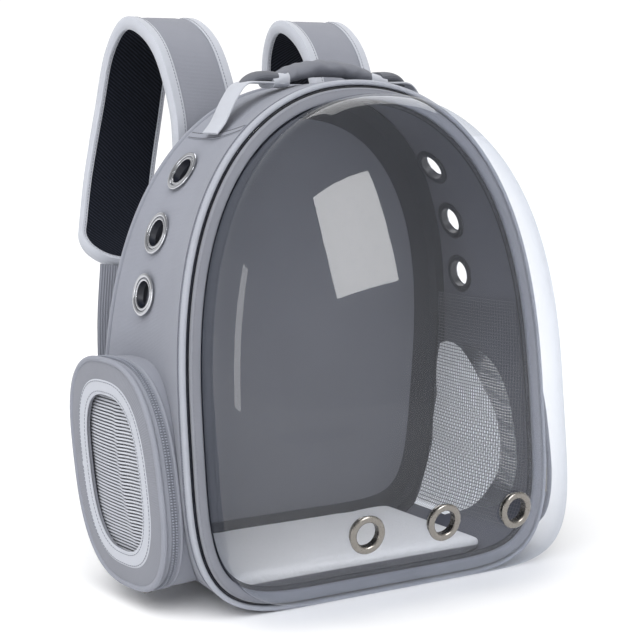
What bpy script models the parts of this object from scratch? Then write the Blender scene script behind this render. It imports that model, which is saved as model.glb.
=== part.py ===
"""Pet carrier backpack with a clear bubble front, in metres with +Z up.

The bag stands on its flat base. The bubble faces -Y and the wearer's side is +Y. A steep arch is the outline
of the whole bag: the side band is that arch drawn back from a leaning front rim, and the zip, the door frame,
the binding and the bubble follow the same arch in front of it.
"""

import math
from collections import namedtuple

import bmesh
import bpy
from mathutils import Vector
from mathutils.bvhtree import BVHTree

# Bag outline
BAG_HEIGHT = 0.420
BAG_WIDTH = 0.356
WIDEST_HEIGHT = 0.136
CORNER_WIDTH = 0.125
CORNER_POWER = 3.8
ROOF_RISE_POWER = 2.72
ROOF_SPREAD_POWER = 2.12
ARCH_POINTS = 48

# Side band
BASE_DEPTH = 0.178
FRONT_LEAN_DEPTH = 0.042
BACK_LEAN_DEPTH = 0.050
WAIST = 0.008
BACK_NARROWER = 0.006
BACK_LOWER = 0.004
BAND_WALL = 0.003
BAND_LEVELS = 4

# Fits
GAP = 0.0004
FACET_GAP = 0.0009

# Back panel
BACK_PAD = 0.014

# Floor mat
MAT_TOP = 0.021
MAT_HALF_WIDTH = 0.142
MAT_FRONT = 0.024
MAT_BACK_CLEARANCE = 0.006
MAT_EDGE = 0.004

# Door: zip, frame and binding
ZIP_DEPTH = 0.005
ZIP_WALL = 0.002
ZIP_INSET = 0.0006
FRAME_WIDTH = 0.010
FRAME_DEPTH = 0.0065
BINDING_WIDTH = 0.0055
BINDING_DEPTH = 0.0035

# Bubble
BUBBLE_REACH = 0.093
BUBBLE_NECK = 0.004
BUBBLE_WALL = 0.0016
BUBBLE_BELLY = 0.10
BUBBLE_LOW_BELLY = 0.18
BUBBLE_CENTRE_HEIGHT = 0.160
BUBBLE_LOW_POWER = 2.35
BUBBLE_HIGH_POWER = 2.60
BUBBLE_SWEEP_DEGREES = (0, 12, 27, 40, 49, 57, 66, 77, 87)

# Eyelets
SIDE_EYELET_RADIUS = 0.0177
SIDE_EYELET_HOLE = 0.0120
SIDE_EYELET_TOP = 0.346
SIDE_EYELET_PITCH = 0.0495
SIDE_EYELET_DEPTH_SHARE = 0.635
BUBBLE_EYELET_RADIUS = 0.0154
BUBBLE_EYELET_HOLE = 0.0097
BUBBLE_EYELET_SPREAD = 0.072
BUBBLE_EYELET_HEIGHT = 0.076
EYELET_NECK = 0.0012
EYELET_FLANGE = 0.0020
EYELET_SIDES = 10
WASHER_CLEARANCE = 0.0022
FLANGE_CLEARANCE = 0.0012

# Side pockets and windows
POCKET_HEIGHT = 0.180
POCKET_LENGTH = 0.138
POCKET_MIDDLE_BACK = 0.087
POCKET_MIDDLE_HEIGHT = 0.107
POCKET_STAND = 0.020
POCKET_LEAN = 0.20
POCKET_FLARE = 0.07
POCKET_POWER = 2.7
POCKET_WALL = 0.002
POCKET_WALL_INSET = 0.0005
POCKET_POINTS = 24
POCKET_FACE = 0.0025
POCKET_PIPING = 0.0027
POCKET_ZIP_WIDTH = 0.006
POCKET_ZIP_BACK = 0.005
POCKET_ZIP_WALL = 0.0015
WINDOW_HEIGHT = 0.125
WINDOW_LENGTH = 0.084
TRIM_WIDTH = 0.011
TRIM_WALL = 0.001
NET_WALL = 0.001
NET_MARGIN = 0.003
BAND_WINDOW_MARGIN = 0.009
SIDE_NET_TOP = 0.226
SIDE_NET_FOOT = 0.042
SIDE_NET_INSET = 0.0052

# Shoulder straps
STRAP_WIDTH = 0.066
STRAP_REACH = 0.130
STRAP_PAD = 0.005
STRAP_MESH = 0.0035
STRAP_BINDING_WIDTH = 0.011
STRAP_BINDING_WALL = 0.001
STRAP_END_LENGTH = 0.030
STRAP_SECTIONS = 18
WEBBING_WIDTH = 0.026
WEBBING_WALL = 0.002
WEBBING_START = 0.0035

# Carry handle
HANDLE_FOOT_SHARE = 0.2185
HANDLE_FOOT_HEIGHT = HANDLE_FOOT_SHARE * BAG_HEIGHT + (1 - HANDLE_FOOT_SHARE) * (
    SIDE_EYELET_TOP + SIDE_EYELET_RADIUS
)
HANDLE_WEBBING_WIDTH = 0.030
HANDLE_GRIP_LENGTH = 0.096
HANDLE_GRIP_WIDTH = 0.024
HANDLE_GRIP_THICKNESS = 0.014
HANDLE_GRIP_RISE = 0.002
HANDLE_TAPE_WIDTH = 0.016
HANDLE_FLAP_LENGTH = 0.026
HANDLE_WALL = 0.002

# Zip pulls
PULL_LENGTH = 0.022
PULL_WIDTH = 0.007
PULL_THICKNESS = 0.0025
DOOR_PULL_HEIGHT = 0.070

# Course of a shoulder strap, root to end. Across is a share of half the bag's width, behind a share of the
# strap's reach behind the back panel, and height a share of the bag's height.
StrapStop = namedtuple("StrapStop", "across behind height")
STRAP_COURSE = (
    StrapStop(0.410, 0.020, 0.845),
    StrapStop(0.410, 0.060, 0.940),
    StrapStop(0.420, 0.240, 1.055),
    StrapStop(0.430, 0.490, 1.112),
    StrapStop(0.442, 0.720, 1.116),
    StrapStop(0.465, 0.890, 1.050),
    StrapStop(0.505, 0.940, 0.930),
    StrapStop(0.590, 0.860, 0.800),
    StrapStop(0.690, 0.660, 0.690),
    StrapStop(0.770, 0.450, 0.625),
)
# Course of the webbing below a strap: behind is measured from the back panel's outside at that height.
WEBBING_COURSE = (
    StrapStop(0.815, 0.280, 0.500),
    StrapStop(0.830, 0.170, 0.350),
    StrapStop(0.835, 0.080, 0.200),
    StrapStop(0.835, 0.000, 0.105),
)


def finish(name, colour, roughness, metallic=0.0, alpha=1.0):
    """A Principled material in the colour of the real piece."""
    material = bpy.data.materials.new(name)
    material.use_nodes = True
    shader = material.node_tree.nodes["Principled BSDF"]
    shader.inputs["Base Color"].default_value = (*colour, 1.0)
    shader.inputs["Roughness"].default_value = roughness
    shader.inputs["Metallic"].default_value = metallic
    shader.inputs["Alpha"].default_value = alpha
    return material


def half_width(height, share):
    """Half the bag's width at a height and a share of the band's depth, 0 at the rim and 1 at the back."""
    side = level_half_width(share)
    top = level_height(share)
    widest = WIDEST_HEIGHT * top / BAG_HEIGHT
    corner = CORNER_WIDTH * side / (BAG_WIDTH / 2)
    if height > widest:
        rise = min((height - widest) / (top - widest), 1.0)
        return side * (1 - rise**ROOF_RISE_POWER) ** (1 / ROOF_SPREAD_POWER)
    drop = min(max((widest - height) / widest, 0.0), 1.0)
    return side - corner + corner * (1 - drop**CORNER_POWER) ** (1 / CORNER_POWER)


def level_half_width(share):
    """Half the widest width of the band's outline at a share of its depth."""
    return BAG_WIDTH / 2 - BACK_NARROWER * share**2 - WAIST * 4 * share * (1 - share)


def level_height(share):
    """Height of the band's outline at a share of its depth."""
    return BAG_HEIGHT - BACK_LOWER * share


def front_y(height):
    """Place of the front rim's plane at a height."""
    return FRONT_LEAN_DEPTH * height / BAG_HEIGHT


def back_y(height):
    """Place of the band's back edge at a height."""
    return BASE_DEPTH - BACK_LEAN_DEPTH * height / BAG_HEIGHT


def depth_y(height, share):
    """Place of a share of the band's depth at a height."""
    return front_y(height) + (back_y(height) - front_y(height)) * share


def make_stations():
    """Points of the arch as shares of half its width and of its height, evenly spaced round the front rim."""
    side = BAG_WIDTH / 2
    steps = 400
    right = []
    for step in range(steps + 1):
        turn = math.pi / 2 * step / steps
        across = side - CORNER_WIDTH + CORNER_WIDTH * math.sin(turn) ** (2 / CORNER_POWER)
        right.append((across, WIDEST_HEIGHT * (1 - max(math.cos(turn), 0.0) ** (2 / CORNER_POWER))))
    for step in range(1, steps + 1):
        turn = math.pi / 2 * step / steps
        across = side * max(math.cos(turn), 0.0) ** (2 / ROOF_SPREAD_POWER)
        rise = math.sin(turn) ** (2 / ROOF_RISE_POWER)
        right.append((across, WIDEST_HEIGHT + (BAG_HEIGHT - WIDEST_HEIGHT) * rise))
    right.insert(0, (0.0, 0.0))
    lengths = [0.0]
    for before, after in zip(right, right[1:]):
        lengths.append(lengths[-1] + math.dist(before, after))
    half_count = ARCH_POINTS // 2
    half = []
    place = 0
    for index in range(half_count + 1):
        target = lengths[-1] * index / half_count
        while place < len(lengths) - 2 and lengths[place + 1] < target:
            place += 1
        part = (target - lengths[place]) / (lengths[place + 1] - lengths[place])
        across = right[place][0] + (right[place + 1][0] - right[place][0]) * part
        height = right[place][1] + (right[place + 1][1] - right[place][1]) * part
        half.append((across / side, height / BAG_HEIGHT))
    return half + [(-across, height) for across, height in reversed(half[1:-1])]


STATIONS = make_stations()


def arch(share, inset):
    """The arch in front view at a share of the depth, moved inwards along its own normals."""
    side = level_half_width(share)
    top = level_height(share)
    outline = [Vector((across * side, height * top)) for across, height in STATIONS]
    moved = []
    for index, point in enumerate(outline):
        run = outline[(index + 1) % len(outline)] - outline[index - 1]
        moved.append(point + Vector((-run.y, run.x)).normalized() * inset)
    return moved


def band_ring(share, inset):
    """The arch at a share of the band's depth, as points in space."""
    return [Vector((p.x, depth_y(p.y, share), p.y)) for p in arch(share, inset)]


def rim_ring(inset, forward):
    """The front rim's arch, moved inwards and forwards."""
    return [Vector((p.x, front_y(p.y) - forward, p.y)) for p in arch(0.0, inset)]


def back_ring(inset, behind):
    """The back edge's arch, moved inwards and backwards."""
    return [Vector((p.x, back_y(p.y) + behind, p.y)) for p in arch(1.0, inset)]


def mesh_object(name, mesh_builder, material, smooth_degrees=40):
    """An object from a bmesh, with its faces turned outwards."""
    bmesh.ops.recalc_face_normals(mesh_builder, faces=mesh_builder.faces)
    mesh = bpy.data.meshes.new(name)
    mesh_builder.to_mesh(mesh)
    mesh_builder.free()
    mesh.shade_smooth()
    mesh.set_sharp_from_angle(angle=math.radians(smooth_degrees))
    mesh.materials.append(material)
    result = bpy.data.objects.new(name, mesh)
    bpy.context.scene.collection.objects.link(result)
    return result


def skin(name, rings, material, closed=False, smooth_degrees=40):
    """A solid skinned over rings of equally many points, with flat ends or joined end to end.

    Each four-sided face is split along its shorter diagonal, so that skins that lie close are split alike.
    """
    builder = bmesh.new()
    loops = [[builder.verts.new(point) for point in ring] for ring in rings]
    pairs = list(zip(loops, loops[1:]))
    if closed:
        pairs.append((loops[-1], loops[0]))
    for first, second in pairs:
        for index in range(len(first)):
            after = (index + 1) % len(first)
            low, low_next, high_next, high = first[index], first[after], second[after], second[index]
            if (low.co - high_next.co).length <= (low_next.co - high.co).length:
                builder.faces.new((low, low_next, high_next))
                builder.faces.new((low, high_next, high))
            else:
                builder.faces.new((low, low_next, high))
                builder.faces.new((low_next, high_next, high))
    if not closed:
        builder.faces.new(loops[0])
        builder.faces.new(reversed(loops[-1]))
    return mesh_object(name, builder, material, smooth_degrees)


def rim_strip(name, section, material):
    """A strip round the front rim. The section is a row of inset and forward pairs."""
    return skin(name, [rim_ring(inset, forward) for inset, forward in section], material, closed=True)


def cutter(name, mesh_source):
    """Keep an object only as a cutting tool."""
    mesh_source.name = name
    mesh_source.hide_render = True
    mesh_source.display_type = "WIRE"
    return mesh_source


def cut(target, tool):
    """Cut a tool's shape out of an object."""
    modifier = target.modifiers.new("Cut", "BOOLEAN")
    modifier.operation = "DIFFERENCE"
    modifier.object = tool


def turned_rings(centre, axis, profile, sides):
    """Rings turned about an axis. The profile is a row of radius and height pairs."""
    axis = axis.normalized()
    first = axis.orthogonal().normalized()
    second = axis.cross(first)
    rings = []
    for radius, height in profile:
        ring = []
        for index in range(sides):
            turn = 2 * math.pi * index / sides
            around = first * math.cos(turn) + second * math.sin(turn)
            ring.append(centre + axis * height + around * radius)
        rings.append(ring)
    return rings


def band_place(height, share, side):
    """A point on the band's outside and the direction that it faces."""
    step = 0.002
    point = Vector((side * half_width(height, share), depth_y(height, share), height))
    higher = Vector((side * half_width(height + step, share), depth_y(height + step, share), height + step))
    deeper = Vector((side * half_width(height, share + step), depth_y(height, share + step), height))
    facing = (higher - point).cross(deeper - point).normalized()
    if facing.x * side < 0:
        facing.negate()
    return point, facing


def side_eyelet_places():
    """Name, point and facing of each eyelet in the band."""
    places = []
    for side_name, side in (("left", -1), ("right", 1)):
        for index in range(3):
            height = SIDE_EYELET_TOP - SIDE_EYELET_PITCH * index
            point, facing = band_place(height, SIDE_EYELET_DEPTH_SHARE, side)
            places.append((f"side_eyelet_{side_name}_{index + 1}", point, facing))
    return places


def eyelet(name, point, facing, wall, hole, radius, inner_radius, material):
    """A metal eyelet: a rolled flange outside, a neck through the wall and a washer inside."""
    foot = FLANGE_CLEARANCE
    crown = foot + EYELET_FLANGE
    seat = -wall - WASHER_CLEARANCE
    profile = (
        (hole, seat - EYELET_FLANGE * 0.6),
        (inner_radius, seat - EYELET_FLANGE * 0.6),
        (inner_radius, seat),
        (hole + EYELET_NECK, seat),
        (hole + EYELET_NECK, foot),
        (radius, foot),
        (radius - EYELET_FLANGE * 0.5, crown),
        (hole, crown),
    )
    return skin(name, turned_rings(point, facing, profile, EYELET_SIDES), material, closed=True)


def eyelet_cutter(name, point, facing, wall, hole, material):
    """The hole for an eyelet's neck."""
    radius = hole + EYELET_NECK + GAP
    rings = turned_rings(point, facing, ((radius, 0.006), (radius, -wall - 0.006)), EYELET_SIDES)
    return cutter(name, skin(name, rings, material))


def pocket_outline(length, height):
    """A leaning egg in side view, as pairs of place and height, round the pocket's middle."""
    outline = []
    for index in range(POCKET_POINTS):
        turn = 2 * math.pi * index / POCKET_POINTS
        along = math.copysign(abs(math.cos(turn)) ** (2 / POCKET_POWER), math.cos(turn)) * length / 2
        up = math.copysign(abs(math.sin(turn)) ** (2 / POCKET_POWER), math.sin(turn)) * height / 2
        outline.append((POCKET_MIDDLE_BACK + along + POCKET_LEAN * up, POCKET_MIDDLE_HEIGHT + up))
    return outline


def pocket_ring(side, length, height, inset, out):
    """The pocket's outline, moved inwards, at a distance out from the pocket's face."""
    ring = []
    for place, up in pocket_outline(length - 2 * inset, height - 2 * inset):
        flare = POCKET_FLARE * (place - POCKET_MIDDLE_BACK)
        ring.append(Vector((side * (BAG_WIDTH / 2 + POCKET_STAND + flare + out), place, up)))
    return ring


def pocket_root_ring(side, inset, lift):
    """The pocket's outline where its side wall meets the band."""
    ring = []
    for place, up in pocket_outline(POCKET_LENGTH - 2 * inset, POCKET_HEIGHT - 2 * inset):
        share = (place - front_y(up)) / (back_y(up) - front_y(up))
        ring.append(Vector((side * (half_width(up, min(max(share, 0.0), 1.0)) + lift), place, up)))
    return ring


def build_band(materials):
    """The cloth band, hollow from front to back, with its eyelet holes and side windows."""
    shares = [level / BAND_LEVELS for level in range(BAND_LEVELS + 1)]
    rings = [band_ring(share, 0.0) for share in shares]
    rings += [band_ring(share, BAND_WALL) for share in reversed(shares)]
    band = skin("side_band", rings, materials["cloth"], closed=True)
    for name, point, facing in side_eyelet_places():
        eyelet(name, point, facing, BAND_WALL, SIDE_EYELET_HOLE, SIDE_EYELET_RADIUS,
               SIDE_EYELET_RADIUS * 0.9, materials["chrome"])
        cut(band, eyelet_cutter(f"{name}_hole", point, facing, BAND_WALL, SIDE_EYELET_HOLE, materials["cloth"]))
    for side_name, side in (("left", -1), ("right", 1)):
        grow = -BAND_WINDOW_MARGIN
        inner = pocket_ring(side, WINDOW_LENGTH, WINDOW_HEIGHT, grow, -POCKET_STAND - BAG_WIDTH / 8)
        outer = pocket_ring(side, WINDOW_LENGTH, WINDOW_HEIGHT, grow, 0.0)
        name = f"window_{side_name}_hole"
        cut(band, cutter(name, skin(name, [inner, outer], materials["cloth"])))


def build_back_panel(materials):
    """The padded panel that closes the back, with a rounded outer edge."""
    rounding = BACK_PAD * 0.6
    rings = (
        back_ring(0.0, GAP),
        back_ring(0.0, BACK_PAD - rounding),
        back_ring(rounding * 0.3, BACK_PAD - rounding * 0.3),
        back_ring(rounding, BACK_PAD),
    )
    skin("back_panel", rings, materials["cloth"])


def build_floor_mat(materials):
    """The plush mat, whose underside follows the bag's rounded bottom corners."""
    floor = BAND_WALL + FACET_GAP
    under = [p for p in arch(0.0, floor) if abs(p.x) <= MAT_HALF_WIDTH and p.y < BAG_HEIGHT / 4]
    under.sort(key=lambda p: p.x)
    narrowing = level_half_width(0.5) / level_half_width(0.0)
    profile = [(p.x * narrowing, p.y) for p in under]
    edge = under[-1].x * narrowing
    shoulder = MAT_TOP - MAT_EDGE * 0.5
    profile += [(edge, shoulder), (edge - MAT_EDGE, MAT_TOP), (-edge + MAT_EDGE, MAT_TOP), (-edge, shoulder)]
    back = back_y(MAT_TOP) - MAT_BACK_CLEARANCE
    rings = [[Vector((across, place, up)) for across, up in profile] for place in (MAT_FRONT, back)]
    skin("floor_mat", rings, materials["plush"])


def build_door(materials):
    """The zip tape, the padded door frame and the binding round the bubble's edge."""
    zip_front = GAP + ZIP_DEPTH
    rim_strip("door_zip", (
        (ZIP_INSET, GAP),
        (ZIP_INSET, zip_front),
        (ZIP_INSET + ZIP_WALL, zip_front),
        (ZIP_INSET + ZIP_WALL, GAP),
    ), materials["zip"])
    frame_back = zip_front + GAP
    flange_front = frame_back + BUBBLE_WALL + GAP
    frame_front = frame_back + FRAME_DEPTH
    flange_outer = FRAME_WIDTH * 0.45
    rim_strip("door_frame", (
        (ZIP_INSET, frame_back),
        (0.0, frame_back + FRAME_DEPTH * 0.4),
        (FRAME_WIDTH * 0.15, frame_back + FRAME_DEPTH * 0.85),
        (FRAME_WIDTH * 0.5, frame_front),
        (FRAME_WIDTH, frame_front - FRAME_DEPTH * 0.15),
        (FRAME_WIDTH, flange_front),
        (flange_outer - GAP, flange_front),
        (flange_outer - GAP, frame_back),
    ), materials["cloth"])
    binding_start = FRAME_WIDTH + GAP
    rim_strip("bubble_binding", (
        (binding_start, flange_front),
        (binding_start, flange_front + BINDING_DEPTH * 0.8),
        (binding_start + BINDING_WIDTH * 0.5, flange_front + BINDING_DEPTH),
        (binding_start + BINDING_WIDTH, flange_front + BINDING_DEPTH * 0.3),
        (binding_start + BINDING_WIDTH, flange_front),
    ), materials["binding"])
    return frame_back, flange_outer, binding_start + BINDING_WIDTH + GAP


def bubble_power(height, centre):
    """How boxy the bubble's section is, from its low half to its crown."""
    share = min(max((height - centre) / (BAG_HEIGHT - centre), 0.0), 1.0)
    return BUBBLE_LOW_POWER + (BUBBLE_HIGH_POWER - BUBBLE_LOW_POWER) * share


def bubble_ring(foot_inset, foot_forward, reach, degrees):
    """One ring of the bubble, which swells past its foot at 0 degrees on the way to its crown at 90."""
    centre = Vector((0.0, BUBBLE_CENTRE_HEIGHT))
    turn = math.radians(degrees)
    ring = []
    for foot in arch(0.0, foot_inset):
        power = bubble_power(foot.y, centre.y)
        low_share = min(max(1 - foot.y / centre.y, 0.0), 1.0)
        swell = 1 + (BUBBLE_BELLY + (BUBBLE_LOW_BELLY - BUBBLE_BELLY) * low_share) * math.sin(2 * turn)
        place = centre + (foot - centre) * math.cos(turn) ** (2 / power) * swell
        forward = foot_forward + reach * math.sin(turn) ** (2 / power)
        ring.append(Vector((place.x, front_y(place.y) - forward, place.y)))
    return ring


def bubble_place(across, height, rings):
    """A point on the bubble's outside and the direction that it faces."""
    count = len(rings[0])
    points = [point for ring in rings for point in ring]
    faces = []
    for level in range(len(rings) - 1):
        for index in range(count):
            after = (index + 1) % count
            first, second = level * count, (level + 1) * count
            faces.append((first + index, first + after, second + after, second + index))
    shell = BVHTree.FromPolygons(points, faces)

    def surface(x, z):
        """The shell's foremost point at a place in front view."""
        return shell.ray_cast(Vector((x, -BAG_HEIGHT, z)), Vector((0.0, 1.0, 0.0)))[0]

    step = BUBBLE_EYELET_HOLE
    right = surface(across + step, height) - surface(across - step, height)
    up = surface(across, height + step) - surface(across, height - step)
    return surface(across, height), right.cross(up).normalized()


def build_bubble(materials, flange_back, flange_outer, foot_inset):
    """The clear shell with its sewn flange and its three eyelets."""
    front = flange_back + BUBBLE_WALL
    inner_inset = foot_inset + BUBBLE_WALL
    outside = [
        bubble_ring(foot_inset, front + BUBBLE_NECK, BUBBLE_REACH, turn) for turn in reversed(BUBBLE_SWEEP_DEGREES)
    ]
    inside = [
        bubble_ring(inner_inset, flange_back + BUBBLE_NECK, BUBBLE_REACH, turn) for turn in BUBBLE_SWEEP_DEGREES
    ]
    flange = [
        rim_ring(foot_inset, front),
        rim_ring(flange_outer, front),
        rim_ring(flange_outer, flange_back),
        rim_ring(inner_inset, flange_back),
    ]
    bubble = skin("bubble", outside + flange + inside, materials["clear"])
    for index, across in enumerate((-BUBBLE_EYELET_SPREAD, 0.0, BUBBLE_EYELET_SPREAD)):
        point, facing = bubble_place(across, BUBBLE_EYELET_HEIGHT, outside)
        name = f"bubble_eyelet_{index + 1}"
        eyelet(name, point, facing, BUBBLE_WALL, BUBBLE_EYELET_HOLE, BUBBLE_EYELET_RADIUS,
               BUBBLE_EYELET_HOLE + EYELET_NECK * 2, materials["nickel"])
        cut(bubble, eyelet_cutter(f"{name}_hole", point, facing, BUBBLE_WALL, BUBBLE_EYELET_HOLE,
                                  materials["clear"]))


def build_pocket(side_name, side, materials):
    """One side pocket: side wall, zip, piping, face with its window, trim and net."""
    face_back = -POCKET_FACE * 0.6
    face_front = POCKET_FACE * 0.4
    size = (POCKET_LENGTH, POCKET_HEIGHT)
    window = (WINDOW_LENGTH, WINDOW_HEIGHT)
    wall_outer = POCKET_WALL_INSET
    wall_inner = wall_outer + POCKET_WALL
    skin(f"pocket_wall_{side_name}", (
        pocket_root_ring(side, wall_outer, FACET_GAP),
        pocket_ring(side, *size, wall_outer, face_back - GAP),
        pocket_ring(side, *size, wall_inner, face_back - GAP),
        pocket_root_ring(side, wall_inner, FACET_GAP),
    ), materials["cloth"], closed=True)
    zip_front = face_back - POCKET_ZIP_BACK
    skin(f"pocket_zip_{side_name}", (
        pocket_ring(side, *size, wall_outer - GAP, zip_front - POCKET_ZIP_WIDTH),
        pocket_ring(side, *size, wall_outer - GAP - POCKET_ZIP_WALL, zip_front - POCKET_ZIP_WIDTH),
        pocket_ring(side, *size, wall_outer - GAP - POCKET_ZIP_WALL, zip_front),
        pocket_ring(side, *size, wall_outer - GAP, zip_front),
    ), materials["zip"], closed=True)
    skin(f"pocket_piping_{side_name}", (
        pocket_ring(side, *size, 0.0, face_back),
        pocket_ring(side, *size, -POCKET_PIPING * 0.3, (face_back + face_front) / 2),
        pocket_ring(side, *size, POCKET_PIPING * 0.3, face_front + POCKET_PIPING * 0.3),
        pocket_ring(side, *size, POCKET_PIPING, face_front),
        pocket_ring(side, *size, POCKET_PIPING, face_back),
    ), materials["cloth"], closed=True)
    face_edge = POCKET_PIPING + GAP
    skin(f"pocket_face_{side_name}", (
        pocket_ring(side, *size, face_edge, face_back),
        pocket_ring(side, *size, face_edge, face_front),
        pocket_ring(side, *window, 0.0, face_front),
        pocket_ring(side, *window, 0.0, face_back),
    ), materials["cloth"], closed=True)
    trim_back = face_front + GAP
    skin(f"window_trim_{side_name}", (
        pocket_ring(side, *window, -TRIM_WIDTH, trim_back),
        pocket_ring(side, *window, -TRIM_WIDTH, trim_back + TRIM_WALL),
        pocket_ring(side, *window, GAP, trim_back + TRIM_WALL),
        pocket_ring(side, *window, GAP, trim_back),
    ), materials["binding"], closed=True)
    net_front = face_back - GAP
    skin(f"window_net_{side_name}", (
        pocket_ring(side, *window, -NET_MARGIN, net_front),
        pocket_ring(side, *window, -NET_MARGIN, net_front - NET_WALL),
    ), materials["net"])
    rows = 6
    columns = 3
    rings = []
    for row in range(rows + 1):
        height = SIDE_NET_FOOT + (SIDE_NET_TOP - SIDE_NET_FOOT) * row / rows
        shares = [0.10 + 0.80 * column / columns for column in range(columns + 1)]
        ring = []
        for inset, order in ((SIDE_NET_INSET, shares), (SIDE_NET_INSET + NET_WALL, shares[::-1])):
            ring += [Vector((side * (half_width(height, s) - inset), depth_y(height, s), height)) for s in order]
        rings.append(ring)
    skin(f"inner_net_{side_name}", rings, materials["dark_net"])


def smooth_course(stops, count):
    """Evenly spaced points on a Catmull-Rom curve through the stops."""
    points = [stops[0] * 2 - stops[1]] + stops + [stops[-1] * 2 - stops[-2]]
    dense = []
    for index in range(1, len(points) - 2):
        before, start, end, after = points[index - 1 : index + 3]
        for step in range(20):
            t = step / 20
            dense.append(0.5 * (2 * start + (end - before) * t + (2 * before - 5 * start + 4 * end - after) * t**2
                                + (3 * start - before - 3 * end + after) * t**3))
    dense.append(stops[-1])
    lengths = [0.0]
    for before, after in zip(dense, dense[1:]):
        lengths.append(lengths[-1] + (after - before).length)
    course = []
    place = 0
    for index in range(count):
        target = lengths[-1] * index / (count - 1)
        while place < len(lengths) - 2 and lengths[place + 1] < target:
            place += 1
        part = (target - lengths[place]) / (lengths[place + 1] - lengths[place])
        course.append(dense[place].lerp(dense[place + 1], part))
    return course, lengths[-1]


def strip_frames(course, side):
    """A point, the direction across and the direction out for each point of a strip's course."""
    frames = []
    for index, point in enumerate(course):
        run = (course[min(index + 1, len(course) - 1)] - course[max(index - 1, 0)]).normalized()
        across = Vector((side, 0.0, 0.0))
        across = (across - run * across.dot(run)).normalized()
        out = across.cross(run) * side
        frames.append((point, across, out))
    return frames


def strap_stops(side):
    """The strap's stops in space."""
    panel = back_y(STRAP_COURSE[0].height * BAG_HEIGHT) + BACK_PAD
    return [
        Vector((side * stop.across * BAG_WIDTH / 2, panel + stop.behind * STRAP_REACH + STRAP_PAD,
                stop.height * BAG_HEIGHT))
        for stop in STRAP_COURSE
    ]


def build_strap(side_name, side, materials):
    """A padded shoulder strap: cloth outside, ribbed mesh inside, tape folded over its edge, webbing below."""
    course, length = smooth_course(strap_stops(side), STRAP_SECTIONS)
    frames = strip_frames(course, side)

    def place(along, across, out):
        """A point of the strap from its distances along, across and out."""
        spot = min(max(along / length, 0.0), 1.0) * (len(frames) - 1)
        index = min(int(spot), len(frames) - 2)
        part = spot - index
        first, second = frames[index], frames[index + 1]
        middle = first[0].lerp(second[0], part)
        return middle + first[1].lerp(second[1], part) * across + first[2].lerp(second[2], part) * out

    def half_at(along, inset):
        """Half the strap's width at a distance along it, less an inset, with a rounded end."""
        start = length - STRAP_END_LENGTH
        half = STRAP_WIDTH / 2 - inset
        if along <= start:
            return half
        share = (along - start) / (STRAP_END_LENGTH - inset)
        return half * math.sqrt(max(1 - min(share, 0.97) ** 2, 0.0))

    def layer(name, low, high, material):
        """One layer of the strap, between two distances out."""
        inset = STRAP_BINDING_WALL + FACET_GAP
        start = length - STRAP_END_LENGTH
        stops = [start * index / (STRAP_SECTIONS - 4) for index in range(STRAP_SECTIONS - 3)]
        stops += [start + (STRAP_END_LENGTH - inset) * share for share in (0.4, 0.7, 0.88, 0.97)]
        rings = []
        for along in stops:
            half = half_at(along, inset)
            rings.append([place(along, *corner) for corner in
                          ((-half, low), (half, low), (half, high), (-half, high))])
        skin(name, rings, material)

    mesh_top = -GAP / 2
    mesh_bottom = mesh_top - STRAP_MESH
    pad_bottom = GAP / 2
    pad_top = pad_bottom + STRAP_PAD
    layer(f"strap_mesh_{side_name}", mesh_bottom, mesh_top, materials["strap_mesh"])
    layer(f"strap_pad_{side_name}", pad_bottom, pad_top, materials["cloth"])

    edge = []
    half = STRAP_WIDTH / 2
    start = length - STRAP_END_LENGTH
    straight = [start * index / (STRAP_SECTIONS - 4) for index in range(STRAP_SECTIONS - 3)]
    edge += [(along, -half, 0.0, 1.0) for along in straight]
    turns = 10
    for index in range(1, turns):
        turn = math.pi * index / turns
        edge.append((start + STRAP_END_LENGTH * math.sin(turn), -half * math.cos(turn),
                     -math.sin(turn), math.cos(turn)))
    edge += [(along, half, 0.0, -1.0) for along in reversed(straight)]
    tape = STRAP_BINDING_WALL
    fold = (
        (0.0, mesh_bottom - FACET_GAP - tape),
        (STRAP_BINDING_WIDTH, mesh_bottom - FACET_GAP - tape),
        (STRAP_BINDING_WIDTH, mesh_bottom - FACET_GAP),
        (tape, mesh_bottom - FACET_GAP),
        (tape, pad_top + FACET_GAP),
        (STRAP_BINDING_WIDTH, pad_top + FACET_GAP),
        (STRAP_BINDING_WIDTH, pad_top + FACET_GAP + tape),
        (0.0, pad_top + FACET_GAP + tape),
    )
    rings = []
    for along, across, in_along, in_across in edge:
        rings.append([place(along + in_along * inward, across + in_across * inward, out) for inward, out in fold])
    skin(f"strap_binding_{side_name}", rings, materials["binding"])

    panel_face = BACK_PAD + FACET_GAP
    end_run = (course[-1] - course[-2]).normalized()
    webbing_stops = [course[-1] + end_run * WEBBING_START]
    webbing_stops += [
        Vector((side * stop.across * BAG_WIDTH / 2,
                back_y(stop.height * BAG_HEIGHT) + panel_face + stop.behind * STRAP_REACH,
                stop.height * BAG_HEIGHT))
        for stop in WEBBING_COURSE
    ]
    webbing_course, _ = smooth_course(webbing_stops, 8)
    strip(f"strap_webbing_{side_name}", strip_frames(webbing_course, side), WEBBING_WIDTH, 0.0, WEBBING_WALL,
          materials["webbing"])


def strip(name, frames, width, low, high, material):
    """A flat strip between two distances out from its course."""
    half = width / 2
    rings = []
    for point, across, out in frames:
        corners = ((-half, low), (half, low), (half, high), (-half, high))
        rings.append([point + across * offset + out * lift for offset, lift in corners])
    return skin(name, rings, material)


def band_top_place(across, share):
    """Height of the band's outside at a distance across, on its roof."""
    side = level_half_width(share)
    top = level_height(share)
    widest = WIDEST_HEIGHT * top / BAG_HEIGHT
    spread = min(abs(across) / side, 1.0)
    return widest + (top - widest) * (1 - spread**ROOF_SPREAD_POWER) ** (1 / ROOF_RISE_POWER)


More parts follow.
